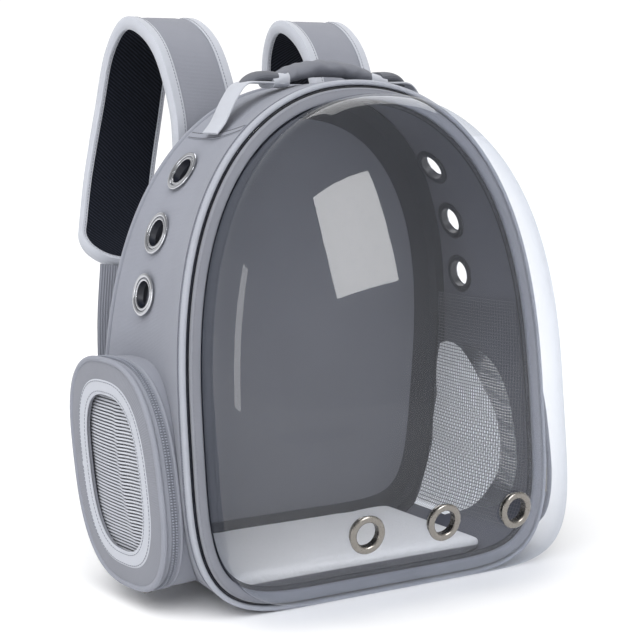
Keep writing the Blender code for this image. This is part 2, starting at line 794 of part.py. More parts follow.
def handle_frame(across, lift):
    """A point over the middle of the band's roof, with the directions along the depth and out."""
    share = 0.5
    step = 0.002
    height = band_top_place(across, share)
    slope = Vector((2 * step, 0.0, band_top_place(across + step, share) - band_top_place(across - step, share)))
    out = Vector((-slope.z, 0.0, slope.x)).normalized()
    point = Vector((across, depth_y(height, share), height)) + out * lift
    return point, Vector((0.0, 1.0, 0.0)), out


def build_handle(materials):
    """The carry handle: webbing on the roof, a padded grip, and a tape and a flap at each end."""
    grip_end = HANDLE_GRIP_LENGTH / 2
    rest = FACET_GAP * 1.5
    webbing_foot = half_width(HANDLE_FOOT_HEIGHT, 0.5)
    flap_foot = grip_end + HANDLE_TAPE_WIDTH + HANDLE_FLAP_LENGTH
    rings = []
    sides = 8
    stops = 9
    for index in range(stops):
        across = grip_end * (2 * index / (stops - 1) - 1)
        crown = 1 - (across / grip_end) ** 2
        lift = rest + HANDLE_WALL + GAP + HANDLE_GRIP_THICKNESS * (0.30 + 0.20 * crown) + HANDLE_GRIP_RISE * crown
        point, depth, out = handle_frame(across, lift)
        thick = HANDLE_GRIP_THICKNESS / 2 * (0.6 + 0.4 * crown)
        ring = []
        for corner in range(sides):
            turn = 2 * math.pi * (corner + 0.5) / sides
            ring.append(point + depth * math.cos(turn) * HANDLE_GRIP_WIDTH / 2 + out * math.sin(turn) * thick)
        rings.append(ring)
    skin("handle_grip", rings, materials["dark_cloth"])
    for side_name, side in (("left", -1), ("right", 1)):
        count = 6
        stops = [side * (grip_end + GAP + (webbing_foot - grip_end - GAP) * i / (count - 1)) for i in range(count)]
        frames = [handle_frame(across, rest) for across in stops]
        strip(f"handle_webbing_{side_name}", frames, HANDLE_WEBBING_WIDTH, 0.0, HANDLE_WALL, materials["binding"])
        low = HANDLE_WALL + FACET_GAP
        tape_stops = [side * (grip_end + GAP + HANDLE_TAPE_WIDTH * i / 2) for i in range(3)]
        strip(f"handle_tape_{side_name}", [handle_frame(across, rest) for across in tape_stops],
              HANDLE_WEBBING_WIDTH * 1.05, low, low + HANDLE_WALL * 1.5, materials["binding"])
        flap_start = grip_end + HANDLE_TAPE_WIDTH + 2 * GAP
        flap_rings = []
        for share in (0.0, 0.35, 0.7, 1.0):
            point, depth, out = handle_frame(side * (flap_start + (flap_foot - flap_start) * share), rest)
            half = HANDLE_WEBBING_WIDTH / 2 * (1 - share**2 * 0.8)
            top = low + HANDLE_WALL * (1.5 - share * 0.5)
            corners = ((-half, low), (half, low), (half, top), (-half, top))
            flap_rings.append([point + depth * offset + out * lift for offset, lift in corners])
        skin(f"handle_flap_{side_name}", flap_rings, materials["dark_cloth"])


def box_between(name, low, high, material):
    """A small block between two corners."""
    rings = []
    for x in (low[0], high[0]):
        rings.append([Vector((x, low[1], low[2])), Vector((x, high[1], low[2])), Vector((x, high[1], high[2])),
                      Vector((x, low[1], high[2]))])
    return skin(name, rings, material)


def build_zip_pulls(materials):
    """Plain pulls of the door zip and the pocket zips, on the sides that lie away from the front view."""
    height = DOOR_PULL_HEIGHT
    start = half_width(height + PULL_LENGTH / 2, 0.0) + FACET_GAP
    front = front_y(height) - ZIP_DEPTH
    box_between("door_zip_pull", (start, front, height - PULL_LENGTH / 2),
                (start + PULL_THICKNESS, front + PULL_WIDTH, height + PULL_LENGTH / 2), materials["nickel"])
    for side_name, side in (("left", -1), ("right", 1)):
        ring = pocket_ring(side, POCKET_LENGTH, POCKET_HEIGHT, -POCKET_ZIP_WALL - FACET_GAP,
                           -POCKET_ZIP_BACK - POCKET_ZIP_WIDTH)
        foot = min(ring, key=lambda p: p.z)
        ends = sorted((foot.x - side * PULL_WIDTH / 2, foot.x + side * PULL_WIDTH / 2))
        box_between(f"pocket_zip_pull_{side_name}", (ends[0], foot.y - PULL_LENGTH / 2, foot.z - PULL_THICKNESS),
                    (ends[1], foot.y + PULL_LENGTH / 2, foot.z), materials["nickel"])


def stand_on_origin():
    """Move everything so that the bag stands on the ground with the origin under its middle."""
    corners = []
    for item in bpy.context.scene.objects:
        if not item.hide_render:
            corners += [vertex.co for vertex in item.data.vertices]
    low = [min(corner[axis] for corner in corners) for axis in range(3)]
    high = [max(corner[axis] for corner in corners) for axis in range(3)]
    shift = Vector((-(low[0] + high[0]) / 2, -(low[1] + high[1]) / 2, -low[2]))
    for item in bpy.context.scene.objects:
        item.location = shift


def main():
    """Build the whole bag."""
    for item in list(bpy.data.objects):
        bpy.data.objects.remove(item)
    materials = {
        "cloth": finish("light grey polyester", (0.36, 0.37, 0.39), 0.85),
        "dark_cloth": finish("dark grey polyester", (0.15, 0.155, 0.17), 0.85),
        "binding": finish("pale binding tape", (0.70, 0.72, 0.75), 0.75),
        "webbing": finish("grey webbing", (0.40, 0.41, 0.43), 0.8),
        "zip": finish("dark zip", (0.09, 0.095, 0.105), 0.5),
        "strap_mesh": finish("black ribbed mesh", (0.012, 0.014, 0.02), 0.9),
        "net": finish("pale window net", (0.45, 0.46, 0.48), 0.7),
        "dark_net": finish("dark square net", (0.05, 0.052, 0.06), 0.8),
        "plush": finish("white plush", (0.85, 0.85, 0.86), 0.95),
        "clear": finish("clear bubble plastic", (0.9, 0.93, 0.96), 0.05, alpha=0.25),
        "chrome": finish("polished chrome", (0.75, 0.75, 0.76), 0.15, metallic=1.0),
        "nickel": finish("dark nickel", (0.45, 0.42, 0.40), 0.25, metallic=1.0),
    }
    build_band(materials)
    build_back_panel(materials)
    build_floor_mat(materials)
    flange_back, flange_outer, foot_inset = build_door(materials)
    build_bubble(materials, flange_back, flange_outer, foot_inset)
    for side_name, side in (("left", -1), ("right", 1)):
        build_pocket(side_name, side, materials)
        build_strap(side_name, side, materials)
    build_handle(materials)
    build_zip_pulls(materials)
    stand_on_origin()


main()
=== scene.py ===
"""The looks of a pet carrier backpack with a clear bubble front.

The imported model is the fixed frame. The pieces here are laid over its solids, each group made by one
operator. Their sizes and colours are the properties that the panel in the 3D view's sidebar lists.
"""

import math

import bmesh
import bpy
from bpy.props import FloatProperty, FloatVectorProperty, IntProperty, PointerProperty
from mathutils import Matrix, Vector, noise


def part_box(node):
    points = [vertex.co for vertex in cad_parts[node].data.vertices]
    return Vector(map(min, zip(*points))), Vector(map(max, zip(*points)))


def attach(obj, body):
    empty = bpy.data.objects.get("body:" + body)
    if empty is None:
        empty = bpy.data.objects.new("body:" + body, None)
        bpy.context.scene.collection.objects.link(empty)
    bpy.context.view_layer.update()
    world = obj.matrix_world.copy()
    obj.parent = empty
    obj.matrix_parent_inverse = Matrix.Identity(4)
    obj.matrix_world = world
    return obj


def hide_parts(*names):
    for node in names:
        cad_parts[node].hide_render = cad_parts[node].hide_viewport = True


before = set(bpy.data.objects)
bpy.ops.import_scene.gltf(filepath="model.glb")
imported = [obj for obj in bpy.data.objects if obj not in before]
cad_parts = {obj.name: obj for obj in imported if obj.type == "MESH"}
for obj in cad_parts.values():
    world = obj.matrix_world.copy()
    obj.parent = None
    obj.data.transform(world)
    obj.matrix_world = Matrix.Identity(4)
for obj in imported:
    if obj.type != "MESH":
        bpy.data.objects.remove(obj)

bl_info = {
    "name": "Bubble carrier backpack",
    "version": (1, 0, 0),
    "blender": (4, 5, 0),
    "location": "3D View > Sidebar > Carrier",
    "description": "Builds the cloth, metal and clear pieces of a pet carrier backpack",
    "category": "Object",
}

BAND_LOW, BAND_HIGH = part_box("side_band")
SIDES = (("left", -1), ("right", 1))

SEWN_GAP = 0.0004
HOLE_PLAY = 0.0006
CLOTH_UNEVENNESS = 0.0012
POCKET_POINTS = 144
# The mat's plush top ends and its grey edge starts this far below its highest point.
MAT_EDGE_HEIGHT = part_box("floor_mat")[1].z - 0.0065


def length(name, default, description):
    """A size in metres."""
    return FloatProperty(name=name, description=description, default=default, min=0.0001, soft_max=1.0,
                         precision=4, subtype="DISTANCE", unit="LENGTH")


def share(name, default, description):
    """A plain number."""
    return FloatProperty(name=name, description=description, default=default, soft_min=0.0, soft_max=4.0)


def colour(name, default, description):
    """A colour in linear light."""
    return FloatVectorProperty(name=name, description=description, default=default, size=3, subtype="COLOR",
                               min=0.0, max=1.0)


class CarrierBody(bpy.types.PropertyGroup):
    """Sizes of the bag's arch, band, door and bubble"""

    height: length("Bag height", BAND_HIGH.z - BAND_LOW.z, "Height of the cloth body")
    width: length("Bag width", BAND_HIGH.x - BAND_LOW.x, "Width of the cloth body")
    widest: length("Widest height", 0.136, "Height at which the body is widest")
    corner: length("Corner width", 0.125, "Width of each rounded bottom corner")
    corner_power: share("Corner power", 3.8, "How square the bottom corners are")
    roof_rise: share("Roof rise power", 2.72, "How the roof rises")
    roof_spread: share("Roof spread power", 2.12, "How the roof spreads")
    base_depth: length("Base depth", 0.178, "Depth of the band at its foot")
    front_lean: length("Front lean", 0.042, "How far the rim's top leans back")
    back_lean: length("Back lean", 0.050, "How far the back's top leans forward")
    waist: length("Waist", 0.008, "How far the band draws in halfway back")
    back_narrower: length("Back narrower", 0.006, "How much narrower the back edge is")
    back_lower: length("Back lower", 0.004, "How much lower the back edge is")
    wall: length("Band wall", 0.003, "Thickness of the lined cloth wall")
    back_pad: length("Back pad", 0.014, "Thickness of the padded back")
    zip_depth: length("Zip depth", 0.005, "Depth of the door's zip")
    frame_width: length("Door frame width", 0.010, "Width of the door's cloth frame")
    binding_width: length("Door binding width", 0.0055, "Width of the tape round the bubble")
    binding_depth: length("Door binding depth", 0.0035, "Depth of the tape round the bubble")
    reach: length("Bubble reach", 0.093, "How far the bubble stands out")
    neck: length("Bubble neck", 0.004, "Straight stretch where the bubble leaves the door")
    shell: length("Bubble wall", 0.0016, "Thickness of the clear sheet")
    belly: share("Bubble belly", 0.10, "How far the bubble swells past its foot")
    low_belly: share("Bubble low belly", 0.11, "How far it swells at the bottom")
    centre: length("Bubble centre", 0.160, "Height of the bubble's crown")
    low_power: share("Bubble low power", 2.35, "How boxy the bubble's lower half is")
    high_power: share("Bubble high power", 2.60, "How boxy the bubble's top is")


class CarrierFittings(bpy.types.PropertyGroup):
    """Sizes of the eyelets, pockets, straps and handle"""

    pocket_height: length("Pocket height", 0.180, "Height of a side pocket")
    pocket_length: length("Pocket length", 0.138, "Length of a side pocket")
    pocket_back: length("Pocket middle", 0.087, "Distance of a pocket's middle behind the rim's foot")
    pocket_middle: length("Pocket middle height", 0.107, "Height of a pocket's middle")
    pocket_stand: length("Pocket stand", 0.020, "How far a pocket's face stands out from the widest body")
    pocket_lean: share("Pocket lean", 0.20, "How far the pocket leans back as it rises")
    pocket_flare: share("Pocket flare", 0.07, "How far the pocket's face opens to the back")
    pocket_power: share("Pocket power", 2.7, "How square the pocket's outline is")
    window_height: length("Window height", 0.125, "Height of a pocket's window")
    window_length: length("Window length", 0.084, "Length of a pocket's window")
    trim_width: length("Trim width", 0.011, "Width of the tape round a window")
    net_pitch: length("Net pitch", 0.0027, "Distance between the window net's ribs")
    strap_width: length("Strap width", 0.066, "Width of a shoulder strap")
    strap_reach: length("Strap reach", 0.130, "How far the straps stand out behind the back")
    strap_pad: length("Strap pad", 0.005, "Thickness of the strap's cloth side")
    strap_mesh: length("Strap mesh", 0.0035, "Thickness of the strap's mesh side")
    strap_tape: length("Strap tape", 0.011, "Width of the tape on a strap's edge")
    strap_end: length("Strap end", 0.030, "Length of a strap's rounded end")
    webbing_width: length("Webbing width", 0.026, "Width of the webbing below a strap")
    webbing_wall: length("Webbing wall", 0.002, "Thickness of the webbing")
    grip_length: length("Grip length", 0.096, "Length of the handle's padded sleeve")
    grip_width: length("Grip width", 0.024, "Width of the handle's padded sleeve")
    grip_thickness: length("Grip thickness", 0.014, "Thickness of the handle's padded sleeve")
    handle_webbing: length("Handle webbing width", 0.030, "Width of the webbing under the handle")
    stitch_pitch: length("Stitch pitch", 0.0032, "Distance from one stitch to the next")
    stitch_width: length("Stitch width", 0.0006, "Thickness of the sewing thread")
    tooth_pitch: length("Zip tooth pitch", 0.0022, "Distance from one zip tooth to the next")
    arch_count: IntProperty(name="Arch points", description="Points round the arch", default=240, min=48)


class CarrierColours(bpy.types.PropertyGroup):
    """Colours of the cloths, tapes, metals and clear sheet"""

    cloth: colour("Cloth", (0.240, 0.251, 0.291), "Light grey outer cloth")
    # This colour is also the colour of the net's painted glow (emission).
    window_lining: colour("Window lining", (0.92, 0.94, 0.98), "White net inside the side windows")
    strap_face: colour("Strap face", (0.222, 0.231, 0.267), "Outer cloth of the shoulder straps")
    pocket_face: colour("Pocket face", (0.205, 0.213, 0.243), "Ribbed cloth of the pockets' faces")
    rim: colour("Rim binding", (0.210, 0.217, 0.247), "Ribbed binding round the bubble")
    pale: colour("Pale cloth", (0.34, 0.355, 0.40), "Paler strip round the door")
    tape: colour("Tape", (0.43, 0.448, 0.497), "Pale tape on straps, window and handle")
    sleeve: colour("Sleeve", (0.150, 0.157, 0.183), "Darker cloth of the handle")
    lining: colour("Lining", (0.088, 0.092, 0.116), "Lining of the side walls")
    back_lining: colour("Back lining", (0.120, 0.126, 0.150), "Lining of the back wall")
    # This near-black also paints the shade in the door's groove and at the bubble's foot.
    corner: colour("Corner band", (0.010, 0.012, 0.020), "Near-black band in the back corners")
    strap_mesh: colour("Strap mesh", (0.010, 0.012, 0.019), "Near-black mesh under the straps")
    net: colour("Window net", (0.60, 0.62, 0.68), "Pale threads of the pocket windows")
    dark_net: colour("Inner net", (0.120, 0.126, 0.150), "Dark threads of the inner net")
    plush: colour("Plush", (0.80, 0.81, 0.84), "White plush of the floor mat")
    zip: colour("Zip", (0.16, 0.17, 0.20), "Teeth and tape of the zips")
    chrome: colour("Chrome", (0.50, 0.51, 0.54), "Side eyelets")
    nickel: colour("Nickel", (0.25, 0.235, 0.215), "Bubble eyelets and zip pulls")
    clear: colour("Clear sheet", (0.68, 0.72, 0.79), "Tint of the bubble's edge")


class CarrierStage(bpy.types.PropertyGroup):
    """Floor, lights and camera"""

    floor: length("Floor width", 30.0, "Width of the pale floor")
    key_power: FloatProperty(name="Key strength", description="Strength of the soft sun", default=3.1)
    ambient: FloatProperty(name="Ambient", description="Strength of the studio's walls", default=0.42)
    softbox: FloatProperty(name="Softbox strength", description="Glow of the large softbox", default=11.0)
    lens: FloatProperty(name="Lens", description="Focal length on a 36 mm sensor", default=93.78,
                        subtype="DISTANCE_CAMERA")


# Course of a shoulder strap, root to end: shares of half the bag's width, of the strap's reach behind the
# back and of the bag's height.
STRAP_COURSE = (
    (0.410, 0.020, 0.845), (0.410, 0.060, 0.940), (0.420, 0.240, 1.055), (0.430, 0.490, 1.112),
    (0.442, 0.720, 1.116), (0.465, 0.890, 1.050), (0.505, 0.940, 0.930), (0.590, 0.860, 0.800),
    (0.690, 0.660, 0.690), (0.770, 0.450, 0.625),
)
# Course of the webbing below a strap, measured from the back's outside at that height.
WEBBING_COURSE = (
    (0.815, 0.280, 0.500), (0.830, 0.170, 0.350), (0.835, 0.080, 0.200), (0.835, 0.000, 0.105),
)

# The white window inside each side wall: height, then how far its front and back edges lie behind the
# rim's foot. All in metres, like the courses below.
INNER_WINDOW = (
    (0.022, 0.104, 0.166), (0.033, 0.078, 0.173), (0.050, 0.063, 0.171),
    (0.080, 0.051, 0.162), (0.116, 0.057, 0.156), (0.150, 0.080, 0.151),
    (0.166, 0.094, 0.148), (0.176, 0.108, 0.143), (0.180, 0.121, 0.130),
)
INNER_WINDOW_FLAT = (0.113, 0.160)
# The dark net over that window: its flat width, how much longer it is than it looks, and its lowest and
# highest place.
INNER_NET_WIDTH = 0.150
INNER_NET_SLACK = 0.005
INNER_NET_LOW, INNER_NET_HIGH = 0.026, 0.226
# Half of the raised carry handle: distance from the middle and height.
HANDLE_COURSE = (
    (0.109, 0.3765), (0.101, 0.3860), (0.091, 0.4040), (0.081, 0.4160), (0.066, 0.4175), (0.046, 0.4165),
)
FLAP_COURSE = ((0.052, 0.4180), (0.066, 0.4190), (0.0825, 0.4150))
WRAP_COURSE = ((0.041, 0.4165), (0.048, 0.4165), (0.056, 0.4155))
# How far the roof's seams lie to each side of the middle.
ROOF_SEAM = 0.104
# Section of the dark band in the back's inner corner: inset from the arch, then place behind the back edge.
CORNER_BAND_SECTION = (
    (0.0036, -0.0200), (0.0046, -0.0200), (0.0070, -0.0080), (0.0120, -0.0034),
    (0.0260, -0.0026), (0.0280, -0.0014), (0.0120, -0.0014), (0.0040, -0.0030),
)

# Corners of the glowing panels that the bubble mirrors: near left, near right, far left, far right.
SOFTBOX_FRONT = (
    (0.136, -1.711, 0.593), (0.729, -1.534, 0.606), (-0.207, -1.407, 1.303), (0.525, -1.316, 1.277),
)
SOFTBOX_LEFT = ((-2.0, -0.56, 0.05), (-2.0, -0.10, 0.05), (-2.0, -0.56, 1.1), (-2.0, -0.10, 1.1))
SOFTBOX_TOP = ((0.1, 0.1, 1.6), (1.4, 0.1, 1.6), (0.1, 1.1, 1.5), (1.4, 1.1, 1.5))
SUN_SPREAD = math.radians(70)
SUN_DIRECTION = Vector((0.55, 0.45, -1.0))
# The side of the studio that is bright, as a turn to the right of straight behind the bag.
BRIGHT_SIDE = math.radians(32)
# Where the photograph was taken from: place before the band's lowest front point, then yaw, pitch and roll.
CAMERA_PLACE = Vector((-0.76083, -1.11516, 0.40145))
CAMERA_TURN = (math.radians(32.21), math.radians(7.41), math.radians(0.19))


def squared(value, power):
    """A sine or cosine bent towards that of a rounded square."""
    return math.copysign(abs(value) ** (2 / power), value)


class Bag:
    """The bag's surfaces, worked out from the sizes, as functions that give points in the frame."""

    def __init__(self):
        self.body = bpy.context.scene.carrier_body
        self.fittings = bpy.context.scene.carrier_fittings
        self.shift = Vector((0.0, BAND_LOW.y, BAND_LOW.z))
        self.table = self.arch_table(1200)

    def arch_table(self, steps):
        """The arch's right half as shares of half its width and of its height, with running lengths."""
        body = self.body
        side = body.width / 2
        half = [(0.0, 0.0)]
        for step in range(steps + 1):
            turn = math.pi / 2 * step / steps
            across = side - body.corner + body.corner * math.sin(turn) ** (2 / body.corner_power)
            drop = max(math.cos(turn), 0.0) ** (2 / body.corner_power)
            half.append((across, body.widest * (1 - drop)))
        for step in range(1, steps + 1):
            turn = math.pi / 2 * step / steps
            across = side * max(math.cos(turn), 0.0) ** (2 / body.roof_spread)
            rise = math.sin(turn) ** (2 / body.roof_rise)
            half.append((across, body.widest + (body.height - body.widest) * rise))
        lengths = [0.0]
        for before, after in zip(half, half[1:]):
            lengths.append(lengths[-1] + math.dist(before, after))
        full = lengths[-1]
        return [(run / full, across / side, up / body.height) for run, (across, up) in zip(lengths, half)]

    def arch_shares(self, count):
        """Evenly spaced points of the whole arch, from the middle of the floor round by the right side."""
        half = []
        place = 0
        for index in range(count // 2 + 1):
            target = index / (count // 2)
            while place < len(self.table) - 2 and self.table[place + 1][0] < target:
                place += 1
            low, high = self.table[place], self.table[place + 1]
            part = (target - low[0]) / max(high[0] - low[0], 1e-9)
            half.append((low[1] + (high[1] - low[1]) * part, low[2] + (high[2] - low[2]) * part))
        return half + [(-across, up) for across, up in reversed(half[1:-1])]

    def side_at(self, depth):
        """Half the widest width at a share of the band's depth."""
        body = self.body
        return body.width / 2 - body.back_narrower * depth**2 - body.waist * 4 * depth * (1 - depth)

    def top_at(self, depth):
        """Height of the outline at a share of the band's depth."""
        return self.body.height - self.body.back_lower * depth

    def front_y(self, height):
        """The rim's plane at a height."""
        return self.body.front_lean * height / self.body.height

    def back_y(self, height):
        """The band's back edge at a height."""
        return self.body.base_depth - self.body.back_lean * height / self.body.height

    def depth_y(self, height, depth):
        """A share of the band's depth at a height."""
        return self.front_y(height) + (self.back_y(height) - self.front_y(height)) * depth

    def arch(self, depth, inset, count):
        """The arch in front view, moved inwards along its own normals."""
        side, top = self.side_at(depth), self.top_at(depth)
        outline = [Vector((across * side, up * top)) for across, up in self.arch_shares(count)]
        moved = []
        for index, point in enumerate(outline):
            run = outline[(index + 1) % count] - outline[index - 1]
            moved.append(point + Vector((-run.y, run.x)).normalized() * inset)
        return moved

    def lay(self, outline, y_at):
        """An outline in front view, laid in the frame at the Y that each height has."""
        return [Vector((point.x, y_at(point.y), point.y)) + self.shift for point in outline]

    def band_ring(self, depth, inset, count):
        """The arch at a share of the band's depth."""
        return self.lay(self.arch(depth, inset, count), lambda height: self.depth_y(height, depth))

    def rim_ring(self, inset, forward, count):
        """The front rim, moved inwards and forwards."""
        return self.lay(self.arch(0.0, inset, count), lambda height: self.front_y(height) - forward)

    def back_ring(self, inset, behind, count):
        """The back edge, moved inwards and backwards."""
        return self.lay(self.arch(1.0, inset, count), lambda height: self.back_y(height) + behind)

    def half_width(self, height, depth):
        """Half the body's width at a height and a share of the band's depth."""
        body = self.body
        side, top = self.side_at(depth), self.top_at(depth)
        widest = body.widest * top / body.height
        corner = body.corner * side / (body.width / 2)
        if height > widest:
            rise = min((height - widest) / (top - widest), 1.0)
            return side * (1 - rise**body.roof_rise) ** (1 / body.roof_spread)
        drop = min(max((widest - height) / widest, 0.0), 1.0)
        return side - corner + corner * (1 - drop**body.corner_power) ** (1 / body.corner_power)

    def wall_point(self, side, height, depth, out=0.0):
        """A point on the band's side, moved outwards across the bag."""
        across = side * (self.half_width(height, depth) + out)
        return Vector((across, self.depth_y(height, depth), height)) + self.shift

    def roof_point(self, across, depth, lift):
        """A point over the roof, with the direction out."""
        body = self.body

        def up(place):
            """Height of the roof at a distance across."""
            side, top = self.side_at(depth), self.top_at(depth)
            widest = body.widest * top / body.height
            spread = min(abs(place) / side, 1.0)
            return widest + (top - widest) * (1 - spread**body.roof_spread) ** (1 / body.roof_rise)

        step = 0.002
        height = up(across)
        out = Vector((up(across - step) - up(across + step), 0.0, 2 * step)).normalized()
        return Vector((across, self.depth_y(height, depth), height)) + self.shift + out * lift, out

    def bubble_ring(self, foot_inset, forward, degrees, count):
        """One ring of the bubble, from its foot at 0 degrees to its crown at 90."""
        body = self.body
        centre = Vector((0.0, body.centre))
        turn = math.radians(degrees)
        ring = []
        for foot in self.arch(0.0, foot_inset, count):
            high = min(max((foot.y - centre.y) / (body.height - centre.y), 0.0), 1.0)
            low = min(max(1 - foot.y / centre.y, 0.0), 1.0)
            power = body.low_power + (body.high_power - body.low_power) * high
            swell = 1 + (body.belly + (body.low_belly - body.belly) * low) * math.sin(2 * turn)
            place = centre + (foot - centre) * max(math.cos(turn), 0.0) ** (2 / power) * swell
            reach = forward + body.reach * math.sin(turn) ** (2 / power)
            ring.append(Vector((place.x, self.front_y(place.y) - reach, place.y)) + self.shift)
        return ring

    def pocket_ring(self, side, size, inset, out, count):
        """The pocket's leaning outline, moved inwards, at a distance out from its face."""
        fittings = self.fittings
        ring = []
        for index in range(count):
            turn = 2 * math.pi * index / count
            up = squared(math.sin(turn), fittings.pocket_power) * (size[1] / 2 - inset)
            along = squared(math.cos(turn), fittings.pocket_power) * (size[0] / 2 - inset)
            place = along + fittings.pocket_lean * up
            ring.append(self.pocket_point(side, place, up, out))
        return ring

    def pocket_point(self, side, along, up, out):
        """A point of the pocket's face from its distances along and up from the middle."""
        fittings = self.fittings
        across = self.body.width / 2 + fittings.pocket_stand + fittings.pocket_flare * along + out
        middle = self.shift + Vector((0.0, fittings.pocket_back, fittings.pocket_middle))
        return middle + Vector((side * across, along, up))


def deselect():
    """Leave nothing selected."""
    if bpy.context.object and bpy.context.object.mode != "OBJECT":
        bpy.ops.object.mode_set(mode="OBJECT")
    bpy.ops.object.select_all(action="DESELECT")


def make_active(piece):
    """Select one piece alone."""
    deselect()
    piece.select_set(True)
    bpy.context.view_layer.objects.active = piece


def in_edit_mode(piece, *steps):
    """Run edit mode operators on the whole of a piece."""
    make_active(piece)
    bpy.ops.object.mode_set(mode="EDIT")
    bpy.ops.mesh.select_all(action="SELECT")
    for operator, settings in steps:
        operator(**settings)
    bpy.ops.object.mode_set(mode="OBJECT")


def smooth(piece, degrees=35):
    """Shade a piece smooth but for its sharp edges."""
    make_active(piece)
    bpy.ops.object.shade_smooth_by_angle(angle=math.radians(degrees))


def apply_modifier(piece, kind, **settings):
    """Add a modifier with its settings and apply it."""
    make_active(piece)
    modifier = piece.modifiers.new(kind.title(), kind)
    for name, value in settings.items():
        setattr(modifier, name, value)
    bpy.ops.object.modifier_apply(modifier=modifier.name)


def settle(piece):
    """Put a piece's place into its mesh, so that its object sits unturned at the origin."""
    make_active(piece)
    bpy.ops.object.transform_apply(location=True, rotation=True, scale=True)


def dress(piece, material, slot, *nodes):
    """Give a piece its finish, let it ride on the frame and stand for the named nodes."""
    if len(piece.data.materials) == 0:
        piece.data.materials.append(material)
    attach(piece, "root")
    if nodes:
        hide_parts(*nodes)
    return piece


def declare_sheet(piece, width, length):
    """Work out a thin closed piece's one-sided area against the rectangle of its flat size; the result is
    not kept.
    """
    one_side = sum(face.area for face in piece.data.polygons) / 2
    min(one_side, width * length)


def running_lengths(points):
    """Lengths along a row of points."""
    lengths = [0.0]
    for before, after in zip(points, points[1:]):
        lengths.append(lengths[-1] + (after - before).length)
    return lengths


def loft(name, rings, closed_run=True, closed_section=True, degrees=35):
    """A grid laid over rings of points, with a UV map in metres: along the rings and across them."""
    deselect()
    run = len(rings[0]) - (0 if closed_run else 1)
    section = len(rings) - (0 if closed_section else 1)
    bpy.ops.mesh.primitive_grid_add(x_subdivisions=run, y_subdivisions=section, size=1.0)
    piece = bpy.context.object
    piece.name = piece.data.name = name
    mesh = piece.data
    cells = [(round((v.co.x + 0.5) * run), round((v.co.y + 0.5) * section)) for v in mesh.vertices]
    middle = rings[len(rings) // 4]
    along = running_lengths(middle + [middle[0]])
    quarter = len(rings[0]) // 4
    across = running_lengths([ring[quarter] for ring in rings] + [rings[0][quarter]])
    for vertex, (column, row) in zip(mesh.vertices, cells):
        vertex.co = rings[row % len(rings)][column % len(rings[0])]
    uv = mesh.uv_layers[0].data
    for loop in mesh.loops:
        column, row = cells[loop.vertex_index]
        uv[loop.index].uv = (along[column], across[row])
    steps = [(bpy.ops.mesh.remove_doubles, {"threshold": 1e-6})]
    if not closed_run or not closed_section:
        steps.append((bpy.ops.mesh.fill_holes, {"sides": 0}))
    steps.append((bpy.ops.mesh.normals_make_consistent, {"inside": False}))
    in_edit_mode(piece, *steps)
    shape = bmesh.new()
    shape.from_mesh(mesh)
    inside_out = shape.calc_volume(signed=True) < 0
    shape.free()
    if inside_out:
        in_edit_mode(piece, (bpy.ops.mesh.flip_normals, {}))
    smooth(piece, degrees)
    return piece


def rounded(low, high, floor, top, count=16, power=4.0):
    """A rounded box section, as pairs of place across and height out."""
    points = []
    for index in range(count):
        turn = 2 * math.pi * (index + 0.5) / count
        across = squared(math.cos(turn), power) * (high - low) / 2
        out = squared(math.sin(turn), power) * (top - floor) / 2
        points.append(((low + high) / 2 + across, (floor + top) / 2 + out))
    return points


def smooth_course(stops, count):
    """Evenly spaced points on a smooth curve through the stops, and its length."""
    points = [stops[0] * 2 - stops[1]] + stops + [stops[-1] * 2 - stops[-2]]
    dense = []
    for index in range(1, len(points) - 2):
        before, start, end, after = points[index - 1 : index + 3]
        for step in range(30):
            part = step / 30
            bend = (2 * before - 5 * start + 4 * end - after) * part**2
            turn = (3 * start - before - 3 * end + after) * part**3
            dense.append(0.5 * (2 * start + (end - before) * part + bend + turn))
    dense.append(stops[-1])
    lengths = running_lengths(dense)
    course = []
    place = 0
    for index in range(count):
        target = lengths[-1] * index / (count - 1)
        while place < len(lengths) - 2 and lengths[place + 1] < target:
            place += 1
        part = (target - lengths[place]) / (lengths[place + 1] - lengths[place])
        course.append(dense[place].lerp(dense[place + 1], part))
    return course, lengths[-1]


def strip_frames(course, side):
    """A point, the direction across and the direction out for each point of a strip's course."""
    frames = []
    for index, point in enumerate(course):
        run = (course[min(index + 1, len(course) - 1)] - course[max(index - 1, 0)]).normalized()
        across = Vector((side, 0.0, 0.0))
        across = (across - run * across.dot(run)).normalized()
        frames.append((point, across, across.cross(run) * side))
    return frames


def strip(name, frames, section):
    """A strip with one section all along its frames and closed ends."""
    rings = []
    for offset, lift in section:
        rings.append([point + across * offset + out * lift for point, across, out in frames])
    return loft(name, rings, closed_run=False)


def repeat(name, source, places):
    """One piece that holds a copy of a small mesh at each place. The source is used up."""
    gathered = bmesh.new()
    for place in places:
        copy = source.data.copy()
        copy.transform(place)
        gathered.from_mesh(copy)
        bpy.data.meshes.remove(copy)
    mesh = bpy.data.meshes.new(name)
    gathered.to_mesh(mesh)
    gathered.free()
    bpy.data.objects.remove(source)
    piece = bpy.data.objects.new(name, mesh)
    bpy.context.scene.collection.objects.link(piece)
    smooth(piece, 50)
    return piece


def small_block(size, bevel):
    """A small block with rounded edges, centred on the origin."""
    deselect()
    bpy.ops.mesh.primitive_cube_add(size=1.0)
    block = bpy.context.object
    block.scale = size
    settle(block)
    in_edit_mode(block, (bpy.ops.mesh.bevel, {"offset": bevel, "segments": 1, "affect": "EDGES"}))
    return block


def placed(point, run, out):
    """A matrix whose X runs along and whose Z points out."""
    run = run.normalized()
    out = (out - run * out.dot(run)).normalized()
    across = out.cross(run)
    return Matrix.Translation(point) @ Matrix((run, across, out)).transposed().to_4x4()


